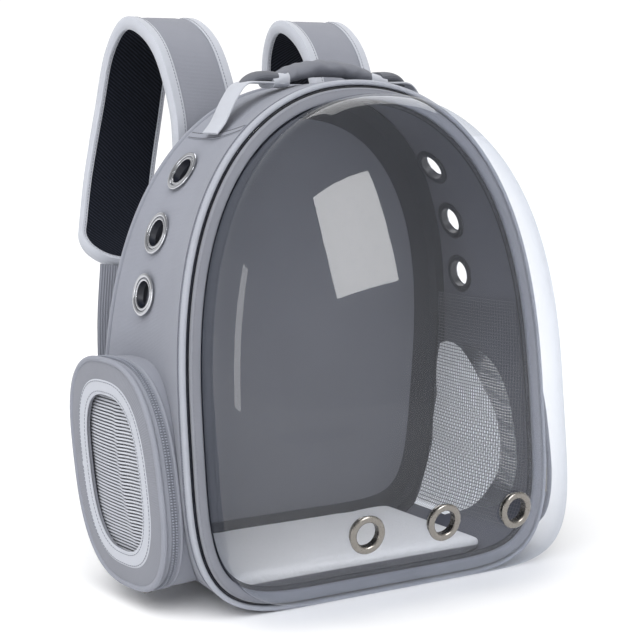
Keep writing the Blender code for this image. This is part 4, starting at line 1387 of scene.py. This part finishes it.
class OBJECT_OT_carrier_pockets(CarrierOperator):
    """Sew the side pockets with their zips, piping, trimmed windows and nets"""

    bl_idname = "object.carrier_pockets"
    bl_label = "Side pockets"

    def build(self, bag):
        for side_name, side in SIDES:
            self.gusset(bag, side_name, side)
            self.zips(bag, side_name, side)
            self.face(bag, side_name, side)
            self.net(bag, side_name, side)
            self.inner_window(bag, side_name, side)
            self.inner_net(bag, side_name, side)

    def size(self, bag):
        """A pocket's length and height."""
        return bag.fittings.pocket_length, bag.fittings.pocket_height

    def gusset(self, bag, side_name, side):
        """The pocket's side wall, from the band out to the piping."""
        size = self.size(bag)
        rings = []
        steps = 8
        for inset, order in ((0.0008, range(steps + 1)), (0.0026, reversed(range(steps + 1)))):
            ring = bag.pocket_ring(side, size, inset, -0.0020, POCKET_POINTS)
            for step in order:
                rings.append([self.from_root(bag, side, point, step / steps) for point in ring])
        wall = loft(f"pocket_gusset_{side_name}", rings)
        dress(wall, finish("band cloth"), "cloth", f"pocket_wall_{side_name}")

    def from_root(self, bag, side, point, part):
        """A point between the band's cloth and the pocket's face, with a slight outward bow."""
        height = point.z - bag.shift.z
        room = bag.back_y(height) - bag.front_y(height)
        depth = min(max((point.y - bag.shift.y - bag.front_y(height)) / room, 0.0), 1.0)
        root = Vector((side * (bag.half_width(height, depth) + 0.0002), point.y, point.z))
        middle = bag.pocket_point(side, 0.0, 0.0, 0.0)
        outwards = Vector((0.0, point.y - middle.y, point.z - middle.z)).normalized()
        return root.lerp(point, part) + outwards * 0.0008 * 4 * part * (1 - part)

    def zips(self, bag, side_name, side):
        """The dark zip line round the pocket, its teeth and the piping in front of it."""
        fittings = bag.fittings
        size = self.size(bag)
        rings = [bag.pocket_ring(side, size, -0.0002 + inset, out, POCKET_POINTS)
                 for inset, out in rounded(0.0, 0.0012, -0.0120, -0.0060, 10)]
        tape = loft(f"pocket_zip_tape_{side_name}", rings)
        dress(tape, finish("zip tape"), "zip", f"pocket_zip_{side_name}")
        places = []
        for out in (-0.0105, -0.0076):
            ring = bag.pocket_ring(side, size, -0.0006, out, POCKET_POINTS)
            middle = bag.pocket_point(side, 0.0, 0.0, out)
            outs = [(p - middle).normalized() for p in ring]
            places += course_places(ring, outs, fittings.tooth_pitch, closed=True)
        tooth = small_block((fittings.tooth_pitch * 0.6, 0.0016, 0.0012), 0.0002)
        dress(repeat(f"pocket_zip_teeth_{side_name}", tooth, places), finish("zip teeth"), "zip")
        for name, radius, inset, out, nodes in (
            ("piping", 0.0024, 0.0008, -0.0004, [f"pocket_piping_{side_name}"]),
            ("back_piping", 0.0016, 0.0006, -0.0150, []),
        ):
            section = [(radius * math.cos(a), radius * math.sin(a)) for a in circle_turns(12)]
            rings = [bag.pocket_ring(side, size, inset + s, out + t, POCKET_POINTS) for s, t in section]
            dress(loft(f"pocket_{name}_{side_name}", rings), finish("band cloth"), "cloth", *nodes)

    def face(self, bag, side_name, side):
        """The ribbed face, its window's tape and the stitches on it."""
        fittings = bag.fittings
        size = self.size(bag)
        window = (fittings.window_length, fittings.window_height)
        count = POCKET_POINTS
        rings = []
        levels = 10
        for lift, order in ((0.0, range(levels + 1)), (-0.0022, reversed(range(levels + 1)))):
            for level in order:
                part = level / levels
                puff = 0.0016 * math.sin(math.pi * part) * (1 if lift == 0.0 else 0.3)
                outer = bag.pocket_ring(side, size, 0.0024, lift + 0.0006 + puff, count)
                inner = bag.pocket_ring(side, window, 0.0, lift + 0.0006 + puff, count)
                rings.append([a.lerp(b, part) for a, b in zip(outer, inner)])
        face = loft(f"pocket_front_{side_name}", rings)
        dress(face, finish("face cloth"), "cloth", f"pocket_face_{side_name}")
        section = rounded(-fittings.trim_width, 0.0012, 0.0010, 0.0027, 18, 3.2)
        rings = [bag.pocket_ring(side, window, inset, out, count) for inset, out in section]
        trim = loft(f"window_tape_{side_name}", rings)
        dress(trim, finish("tape"), "binding", f"window_trim_{side_name}")
        places = []
        outs = [Vector((side, 0, 0))] * count
        for inset in (-fittings.trim_width + 0.0016, -0.0014):
            places += course_places(bag.pocket_ring(side, window, inset, 0.0027, count), outs,
                                    fittings.stitch_pitch, closed=True)
        dress(stitches(f"window_stitches_{side_name}", bag, places), finish("thread"), "binding")

    def net(self, bag, side_name, side):
        """The bulging net in the pocket's window."""
        fittings = bag.fittings
        window = (fittings.window_length + 0.006, fittings.window_height + 0.006)
        columns, rows = 26, 240
        rings = []
        for row in range(rows + 1):
            up = (row / rows - 0.5) * window[1] * 0.998
            limit = (1 - abs(2 * up / window[1]) ** fittings.pocket_power) ** (1 / fittings.pocket_power)
            ring = []
            for out, order in ((0.0, range(columns + 1)), (-0.0008, reversed(range(columns + 1)))):
                for column in order:
                    part = (column / columns - 0.5) * limit
                    ring.append(self.net_point(bag, side, window, part, up, out))
            rings.append(ring)
        net = loft(f"window_net_cloth_{side_name}", rings, closed_section=False)
        dress(net, finish("window net"), "net", f"window_net_{side_name}")
        declare_sheet(net, window[0], window[1])

    def inner_net(self, bag, side_name, side):
        """The dark net that hangs over the window's inside."""
        tall = INNER_NET_HIGH - INNER_NET_LOW
        first, room = 0.08, 0.84
        columns, rows = 24, 40
        shares = [first + room * column / columns for column in range(columns + 1)]
        rings = []
        for row in range(rows + 1):
            height = INNER_NET_LOW + tall * row / rows
            ring = []
            for inset, order in ((0.0046, shares), (0.0052, shares[::-1])):
                for depth in order:
                    sag = math.sin(math.pi * (depth - first) / room) * math.sin(math.pi * row / rows)
                    fold = 0.0012 * noise.noise(Vector((depth * 5, height * 18, side)))
                    ring.append(bag.wall_point(side, height, depth, -inset - 0.0035 * sag - abs(fold)))
            rings.append(ring)
        wall_net = loft(f"inner_net_cloth_{side_name}", rings, closed_section=False)
        dress(wall_net, finish("inner net"), "dark_net", f"inner_net_{side_name}")
        declare_sheet(wall_net, INNER_NET_WIDTH, tall + INNER_NET_SLACK)

    def inner_window(self, bag, side_name, side):
        """The white net of the window, as it shows on the inside of the wall, with a painted glow."""
        stops = [Vector((front, back, height)) for height, front, back in INNER_WINDOW]
        course, _ = smooth_course(stops, 49)
        columns = 24
        rings = []
        for front, back, height in course:
            ring = []
            for inset, order in ((0.0034, range(columns + 1)), (0.0040, reversed(range(columns + 1)))):
                for column in order:
                    place = front + (back - front) * column / columns
                    depth = (place - bag.front_y(height)) / (bag.back_y(height) - bag.front_y(height))
                    bulge = 0.002 * noise.noise(Vector((place * 16, height * 16, side)))
                    ring.append(bag.wall_point(side, height, depth, -inset - abs(bulge)))
            rings.append(ring)
        piece = loft(f"inner_window_{side_name}", rings, closed_section=False)
        dress(piece, finish("window lining"), "net")
        declare_sheet(piece, INNER_WINDOW_FLAT[0], INNER_WINDOW_FLAT[1])

    def net_point(self, bag, side, window, part, up, out):
        """A point of the window's net, which bulges and folds a little."""
        fittings = bag.fittings
        along = part * window[0]
        edge = (1 - (2 * part) ** 2) * (1 - (2 * up / window[1]) ** 2)
        ridge = 0.0030 * math.exp(-((along + 0.012 - up * 0.06) / 0.006) ** 2)
        wave = 0.00035 * math.sin(2 * math.pi * up / fittings.net_pitch)
        lift = -0.0042 + edge * (0.0042 + ridge) + wave + out
        return bag.pocket_point(side, along + fittings.pocket_lean * up, up, lift)


class OBJECT_OT_carrier_straps(CarrierOperator):
    """Sew the shoulder straps with their mesh, tape, stitches and webbing"""

    bl_idname = "object.carrier_straps"
    bl_label = "Shoulder straps"

    def build(self, bag):
        for side_name, side in SIDES:
            self.one_strap(bag, side_name, side)

    def one_strap(self, bag, side_name, side):
        """Both layers of a strap, then its tape and its webbing."""
        body, fittings = bag.body, bag.fittings
        panel = bag.back_y(STRAP_COURSE[0][2] * body.height) + body.back_pad
        stops = [Vector((side * a * body.width / 2, panel + b * fittings.strap_reach + fittings.strap_pad,
                         h * body.height)) + bag.shift for a, b, h in STRAP_COURSE]
        count = 110
        course, full = smooth_course(stops, count)
        frames = strip_frames(course, side)
        pad, mesh = fittings.strap_pad, fittings.strap_mesh

        def place(along, across, out):
            """A point by its distance along the strap's course, across it and out from it."""
            spot = min(max(along / full, 0.0), 1.0) * (count - 1)
            index = min(int(spot), count - 2)
            part = spot - index
            first, second = frames[index], frames[index + 1]
            middle = first[0].lerp(second[0], part)
            return middle + first[1].lerp(second[1], part) * across + first[2].lerp(second[2], part) * out

        def half_at(along, inset):
            """Half the strap's width at a place along it, rounded off at its end."""
            start = full - fittings.strap_end
            half = fittings.strap_width / 2 - inset
            if along <= start:
                return half
            part = min((along - start) / (fittings.strap_end - inset), 0.995)
            return half * math.sqrt(1 - part**2)

        alongs = [(full - fittings.strap_end) * i / 90 for i in range(91)]
        alongs += [full - fittings.strap_end + (fittings.strap_end - 0.0016) * part
                   for part in (0.15, 0.3, 0.45, 0.6, 0.72, 0.82, 0.9, 0.95, 0.98, 0.995)]

        def layer(name, low, high, crown, look, slot, node):
            """One padded layer of the strap, crowned on the side that faces away from the other layer."""
            rings = []
            for across, out in rounded(-1.0, 1.0, 0.0, 1.0, 28, 5.0):
                ring = []
                for along in alongs:
                    half = half_at(along, 0.0016)
                    rough = 0.0003 * noise.noise(Vector((along * 30, across, side)))
                    puff = crown * (1 - across**2) + rough
                    if high > 0:
                        lift = low + (high - low + puff) * out
                    else:
                        lift = high + (low - high - puff) * (1 - out)
                    ring.append(place(along, across * half, lift))
                rings.append(ring)
            dress(loft(name, rings, closed_run=False), finish(look), slot, node)

        layer(f"strap_cloth_{side_name}", 0.0, pad, 0.0012, "strap cloth", "cloth",
              f"strap_pad_{side_name}")
        layer(f"strap_under_{side_name}", -mesh, -0.0001, 0.0008, "strap mesh", "strap_mesh",
              f"strap_mesh_{side_name}")
        self.binding(bag, side_name, place, full)
        self.webbing(bag, side_name, side, course)

    def binding(self, bag, side_name, place, full):
        """Tape folded over the strap's edge, with a row of stitches on each side."""
        fittings = bag.fittings
        half, end = fittings.strap_width / 2, fittings.strap_end
        start = full - end
        straight = [start * i / 90 for i in range(91)]
        edge = [(along, -half, 0.0, 1.0) for along in straight]
        turns = 24
        for index in range(1, turns):
            turn = math.pi * index / turns
            ahead, aside = math.sin(turn), math.cos(turn)
            edge.append((start + end * ahead, -half * aside, -ahead, aside))
        edge += [(along, half, 0.0, -1.0) for along in reversed(straight)]
        low = -fittings.strap_mesh - 0.0008
        high = fittings.strap_pad + 0.0010
        width, tape = fittings.strap_tape, 0.0009
        under = width * 0.5
        outer = [(under, low - 0.0002), (under * 0.6, low - tape * 0.6), (0.0020, low - tape * 0.5),
                 (0.0006, low * 0.62), (0.0, (low + high) / 2), (0.0006, high * 0.66),
                 (0.0022, high + tape * 0.8), (width * 0.5, high + tape), (width, high + 0.0002)]
        wall = 0.0006
        inner = [(a + wall if a < under else a, b * (1 - wall / max(abs(b), 0.003)))
                 for a, b in reversed(outer)]
        rings = []
        for inward, out in outer + inner:
            rings.append([place(a + da * inward, b + db * inward, out) for a, b, da, db in edge])
        dress(loft(f"strap_tape_{side_name}", rings, closed_run=False), finish("tape"), "binding",
              f"strap_binding_{side_name}")
        places = []
        for out, inward in ((high + tape * 0.6, width - 0.0020), (low - tape * 0.4, under - 0.0014)):
            points = [place(a + da * inward, b + db * inward, out) for a, b, da, db in edge]
            deeper = [place(a + da * inward, b + db * inward, out * 1.6) for a, b, da, db in edge]
            outs = [(far - near).normalized() for far, near in zip(deeper, points)]
            places += course_places(points, outs, fittings.stitch_pitch)
        dress(stitches(f"strap_stitches_{side_name}", bag, places), finish("thread"), "binding")

    def webbing(self, bag, side_name, side, course):
        """The webbing from the strap's end down to the bag's foot."""
        body, fittings = bag.body, bag.fittings
        end_run = (course[-1] - course[-2]).normalized()
        stops = [course[-1] + end_run * 0.0015]
        stops += [Vector((side * a * body.width / 2,
                          bag.back_y(h * body.height) + body.back_pad + 0.0009 + b * fittings.strap_reach,
                          h * body.height)) + bag.shift for a, b, h in WEBBING_COURSE]
        points, run = smooth_course(stops, 60)
        half = fittings.webbing_width / 2
        section = rounded(-half, half, 0.0, fittings.webbing_wall, 20, 3.5)
        piece = strip(f"webbing_{side_name}", strip_frames(points, side), section)
        dress(piece, finish("webbing"), "webbing", f"strap_webbing_{side_name}")
        declare_sheet(piece, fittings.webbing_width, run)


class OBJECT_OT_carrier_handle(CarrierOperator):
    """Build the carry handle with its sleeve, wraps, flaps and webbing, and the roof's seams"""

    bl_idname = "object.carrier_handle"
    bl_label = "Carry handle"

    def build(self, bag):
        self.sleeve(bag)
        for side_name, side in SIDES:
            self.webbing(bag, side_name, side)
            self.wrap(bag, side_name, side)
            self.flap(bag, side_name, side)
            self.seam(bag, side_name, side)

    def sleeve(self, bag):
        """The padded sleeve, gathered into slanting wrinkles."""
        fittings = bag.fittings
        end = fittings.grip_length / 2 - 0.001
        rings = []
        sides, stops = 36, 90
        for corner in range(sides):
            turn = 2 * math.pi * corner / sides
            ring = []
            for index in range(stops + 1):
                across = end * (2 * index / stops - 1)
                crown = 1 - (across / end) ** 2
                thick = fittings.grip_thickness / 2 * (0.72 + 0.28 * crown**0.5)
                lift = 0.0030 + fittings.grip_thickness * 0.42 + 0.0035 * crown
                point, out = bag.roof_point(across, 0.5, lift)
                wave = math.sin(across * 520 + 2.2 * math.sin(turn + across * 60) + turn * 1.5)
                crease = 0.0007 * wave * (0.4 + 0.6 * noise.noise(Vector((across * 40, turn, 0.3))))
                crease += 0.0012 * noise.noise(Vector((across * 90, math.cos(turn), math.sin(turn))))
                width = fittings.grip_width / 2 + crease
                aside = Vector((0, 1, 0)) * math.cos(turn) * width
                ring.append(point + aside + out * math.sin(turn) * (thick + crease))
            rings.append(ring)
        piece = loft("handle_sleeve", rings, closed_run=False, degrees=60)
        dress(piece, finish("sleeve cloth"), "dark_cloth", "handle_grip")

    def raised_strip(self, bag, name, side, stops, section, width_at, thick_at):
        """A strip that leaves the roof, with its own width and thickness along it."""
        middle = bag.depth_y(bag.body.height, 0.5)
        last = 40
        course, _ = smooth_course([Vector((side * x, middle, z)) + bag.shift for x, z in stops], last + 1)
        rings = []
        for across, out_part in section:
            ring = []
            for index, point in enumerate(course):
                run = (course[min(index + 1, last)] - course[max(index - 1, 0)]).normalized()
                out = run.cross(Vector((0, 1, 0)))
                if out.z < 0:
                    out.negate()
                part = index / last
                aside = Vector((0, 1, 0)) * across * width_at(part) / 2
                ring.append(point + aside + out * out_part * thick_at(part))
            rings.append(ring)
        return loft(name, rings, closed_run=False)

    def webbing(self, bag, side_name, side):
        """Pale webbing that leaves the roof's seam and runs up under the sleeve."""
        width = bag.fittings.handle_webbing * 0.86
        section = rounded(-1, 1, 0, 1, 16, 3.5)
        piece = self.raised_strip(bag, f"handle_band_{side_name}", side, HANDLE_COURSE, section,
                                  lambda part: width, lambda part: 0.0022)
        dress(piece, finish("tape"), "binding", f"handle_webbing_{side_name}")
        stops = [Vector((x, 0.0, z)) for x, z in HANDLE_COURSE]
        declare_sheet(piece, width, smooth_course(stops, 41)[1])

    def wrap(self, bag, side_name, side):
        """The pale tape wrapped round the sleeve's end."""
        width = bag.fittings.grip_width * 1.06
        section = rounded(-1, 1, -0.25, 1, 24, 2.6)
        piece = self.raised_strip(bag, f"handle_wrap_{side_name}", side, WRAP_COURSE, section,
                                  lambda part: width * (1 + 0.06 * part),
                                  lambda part: 0.0115 - 0.0035 * part)
        dress(piece, finish("tape"), "binding", f"handle_tape_{side_name}")

    def flap(self, bag, side_name, side):
        """The leaf-shaped end of the sleeve, folded flat, in the sleeve's cloth darkened as painted shade.
        """
        width = bag.fittings.grip_width * 1.05

        def leaf(part):
            """The flap's width, which narrows to its tip."""
            return width * max(1 - part**2.4, 0.02) ** 0.6

        section = rounded(-1, 1, 0, 1, 20, 2.4)
        piece = self.raised_strip(bag, f"handle_leaf_{side_name}", side, FLAP_COURSE, section,
                                  leaf, lambda part: 0.0090 * (1 - part**2) ** 0.7 + 0.0006)
        dress(piece, finish("flap cloth"), "dark_cloth", f"handle_flap_{side_name}")

    def seam(self, bag, side_name, side):
        """The roof's seam: a flat fold across the band with two rows of stitches."""
        places = []
        across = side * ROOF_SEAM
        depths = [0.02 + 0.96 * step / 40 for step in range(41)]
        points = [bag.roof_point(across, depth, 0.0)[0] for depth in depths]
        out = bag.roof_point(across, 0.5, 0.0)[1]
        run = Vector((out.z, 0, -out.x))
        frames = [(p, run, out) for p in points]
        fold = strip(f"roof_seam_{side_name}", frames, rounded(-0.0035, 0.0035, -0.0006, 0.0008, 12, 2.6))
        dress(fold, finish("band cloth"), "cloth")
        for offset in (-0.0026, 0.0026):
            row = [p + run * offset + out * 0.0008 for p in points]
            places += course_places(row, [out] * len(row), bag.fittings.stitch_pitch)
        dress(stitches(f"roof_stitches_{side_name}", bag, places), finish("dark thread"), "binding")


class OBJECT_OT_carrier_pulls(CarrierOperator):
    """Shape the pulls of the door's and the pockets' zips"""

    bl_idname = "object.carrier_pulls"
    bl_label = "Zip pulls"

    def build(self, bag):
        for node in ("door_zip_pull", "pocket_zip_pull_left", "pocket_zip_pull_right"):
            low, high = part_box(node)
            self.pull(node, low, high)

    def pull(self, node, low, high):
        """A rounded tab with an inset eye, filling its solid's box."""
        deselect()
        centre, size = (low + high) / 2, high - low
        bpy.ops.mesh.primitive_cube_add(size=1.0, location=centre)
        tab = bpy.context.object
        tab.name = tab.data.name = f"{node}_tab"
        tab.scale = size
        settle(tab)
        thin = min(range(3), key=lambda axis: size[axis])
        rounding = {"offset": min(size) * 0.3, "segments": 3, "affect": "EDGES"}
        in_edit_mode(tab, (bpy.ops.mesh.bevel, rounding))
        make_active(tab)
        bpy.ops.object.mode_set(mode="EDIT")
        bpy.ops.mesh.select_all(action="DESELECT")
        shape = bmesh.from_edit_mesh(tab.data)
        for face in shape.faces:
            face.select_set(abs(face.normal[thin]) > 0.99 and face.calc_area() > min(size) ** 2)
        bmesh.update_edit_mesh(tab.data)
        bpy.ops.mesh.inset(thickness=min(size) * 0.5, depth=-min(size) * 0.18)
        bpy.ops.object.mode_set(mode="OBJECT")
        smooth(tab, 40)
        dress(tab, finish("nickel"), "nickel", node)


class SCENE_OT_carrier_stage(bpy.types.Operator):
    """Lay the floor and set the lights and the camera"""

    bl_idname = "scene.carrier_stage"
    bl_label = "Stage"

    def execute(self, context):
        stage = context.scene.carrier_stage
        deselect()
        bpy.ops.mesh.primitive_plane_add(size=stage.floor)
        floor = context.object
        floor.name = "floor"
        paint = Paint("pale floor")
        paint.surface(Base_Color=(0.93, 0.93, 0.935), Roughness=1.0, Specular_IOR_Level=0.0)
        floor.data.materials.append(paint.material)
        self.walls(context, stage)
        self.key(context, stage)
        self.panel("softbox front", SOFTBOX_FRONT, stage.softbox)
        self.panel("softbox left", SOFTBOX_LEFT, stage.softbox * 0.45)
        self.panel("softbox top", SOFTBOX_TOP, stage.softbox * 0.35)
        self.camera(context, stage)
        context.scene.view_settings.view_transform = "Standard"
        deselect()
        return {"FINISHED"}

    def walls(self, context, stage):
        """The studio: dim all round and bright behind the object."""
        world = bpy.data.worlds.new("studio")
        context.scene.world = world
        world.use_nodes = True
        tree = world.node_tree
        background = tree.nodes["Background"]
        place = tree.nodes.new("ShaderNodeTexCoord")
        toward = tree.nodes.new("ShaderNodeVectorMath")
        toward.operation = "DOT_PRODUCT"
        tree.links.new(place.outputs["Generated"], toward.inputs[0])
        toward.inputs[1].default_value = (math.sin(BRIGHT_SIDE), math.cos(BRIGHT_SIDE), 0.0)
        split = tree.nodes.new("ShaderNodeSeparateXYZ")
        tree.links.new(place.outputs["Generated"], split.inputs[0])
        behind = self.change(tree, toward.outputs["Value"], 0.35, 0.90, stage.ambient, 1.08)
        low_down = self.change(tree, split.outputs["Z"], -0.02, 0.55, 0.98, stage.ambient)
        brighter = tree.nodes.new("ShaderNodeMath")
        brighter.operation = "MAXIMUM"
        tree.links.new(behind, brighter.inputs[0])
        tree.links.new(low_down, brighter.inputs[1])
        tree.links.new(brighter.outputs["Value"], background.inputs["Strength"])
        background.inputs["Color"].default_value = (1.0, 1.0, 1.0, 1.0)

    def change(self, tree, source, start, stop, low, high):
        """A smooth change from one value to another as a source goes from its start to its stop."""
        made = tree.nodes.new("ShaderNodeMapRange")
        made.interpolation_type = "SMOOTHSTEP"
        tree.links.new(source, made.inputs["Value"])
        for name, value in (("From Min", start), ("From Max", stop), ("To Min", low), ("To Max", high)):
            made.inputs[name].default_value = value
        return made.outputs["Result"]

    def key(self, context, stage):
        """A wide soft sun from the upper left."""
        light = bpy.data.lights.new("key", "SUN")
        light.energy = stage.key_power
        light.angle = SUN_SPREAD
        lamp = bpy.data.objects.new("key", light)
        lamp.rotation_euler = SUN_DIRECTION.to_track_quat("-Z", "Y").to_euler()
        lamp.visible_glossy = False
        context.scene.collection.objects.link(lamp)

    def panel(self, name, corners, strength):
        """A glowing panel that the glossy pieces mirror, without lighting the cloth."""
        deselect()
        bpy.ops.mesh.primitive_plane_add(size=1.0)
        panel = bpy.context.object
        panel.name = name
        for vertex, corner in zip(panel.data.vertices, corners):
            vertex.co = corner
        paint = Paint(name)
        paint.surface(Base_Color=(0.0, 0.0, 0.0), Emission_Color=(1.0, 1.0, 1.0),
                      Emission_Strength=strength)
        panel.data.materials.append(paint.material)
        panel.visible_diffuse = False
        panel.visible_shadow = False

    def camera(self, context, stage):
        """The photograph's angle."""
        data = bpy.data.cameras.new("camera")
        data.lens = stage.lens
        data.clip_start, data.clip_end = 0.01, 100.0
        camera = bpy.data.objects.new("camera", data)
        yaw, pitch, roll = CAMERA_TURN
        turned = (Matrix.Rotation(-yaw, 4, "Z") @ Matrix.Rotation(math.pi / 2 - pitch, 4, "X")
                  @ Matrix.Rotation(-roll, 4, "Z"))
        stand = CAMERA_PLACE + Vector((0.0, BAND_LOW.y, BAND_LOW.z))
        camera.matrix_world = Matrix.Translation(stand) @ turned
        context.scene.collection.objects.link(camera)
        context.scene.camera = camera


class VIEW3D_PT_carrier(bpy.types.Panel):
    """The carrier's sizes, colours and operators"""

    bl_label = "Carrier backpack"
    bl_idname = "VIEW3D_PT_carrier"
    bl_space_type = "VIEW_3D"
    bl_region_type = "UI"
    bl_category = "Carrier"

    def draw(self, context):
        scene = context.scene
        for operator in OPERATORS:
            self.layout.operator(operator.bl_idname)
        for group_name, kind in GROUPS:
            box = self.layout.box()
            for name in kind.__annotations__:
                box.prop(getattr(scene, group_name), name)


GROUPS = (
    ("carrier_body", CarrierBody),
    ("carrier_fittings", CarrierFittings),
    ("carrier_colours", CarrierColours),
    ("carrier_stage", CarrierStage),
)
OPERATORS = (
    OBJECT_OT_carrier_band,
    OBJECT_OT_carrier_back,
    OBJECT_OT_carrier_mat,
    OBJECT_OT_carrier_door,
    OBJECT_OT_carrier_bubble,
    OBJECT_OT_carrier_eyelets,
    OBJECT_OT_carrier_pockets,
    OBJECT_OT_carrier_straps,
    OBJECT_OT_carrier_handle,
    OBJECT_OT_carrier_pulls,
    SCENE_OT_carrier_stage,
)


def register():
    """Register the classes and hang the properties on the scene."""
    for name, group in GROUPS:
        bpy.utils.register_class(group)
        setattr(bpy.types.Scene, name, PointerProperty(type=group))
    for operator in OPERATORS:
        bpy.utils.register_class(operator)
    bpy.utils.register_class(VIEW3D_PT_carrier)


def unregister():
    """Take the classes and properties away again."""
    bpy.utils.unregister_class(VIEW3D_PT_carrier)
    for operator in reversed(OPERATORS):
        bpy.utils.unregister_class(operator)
    for name, group in reversed(GROUPS):
        delattr(bpy.types.Scene, name)
        bpy.utils.unregister_class(group)


def main():
    """Build every piece."""
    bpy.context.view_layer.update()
    register()
    for operator in OPERATORS:
        group, name = operator.bl_idname.split(".")
        getattr(getattr(bpy.ops, group), name)()


if __name__ == "__main__":
    main()
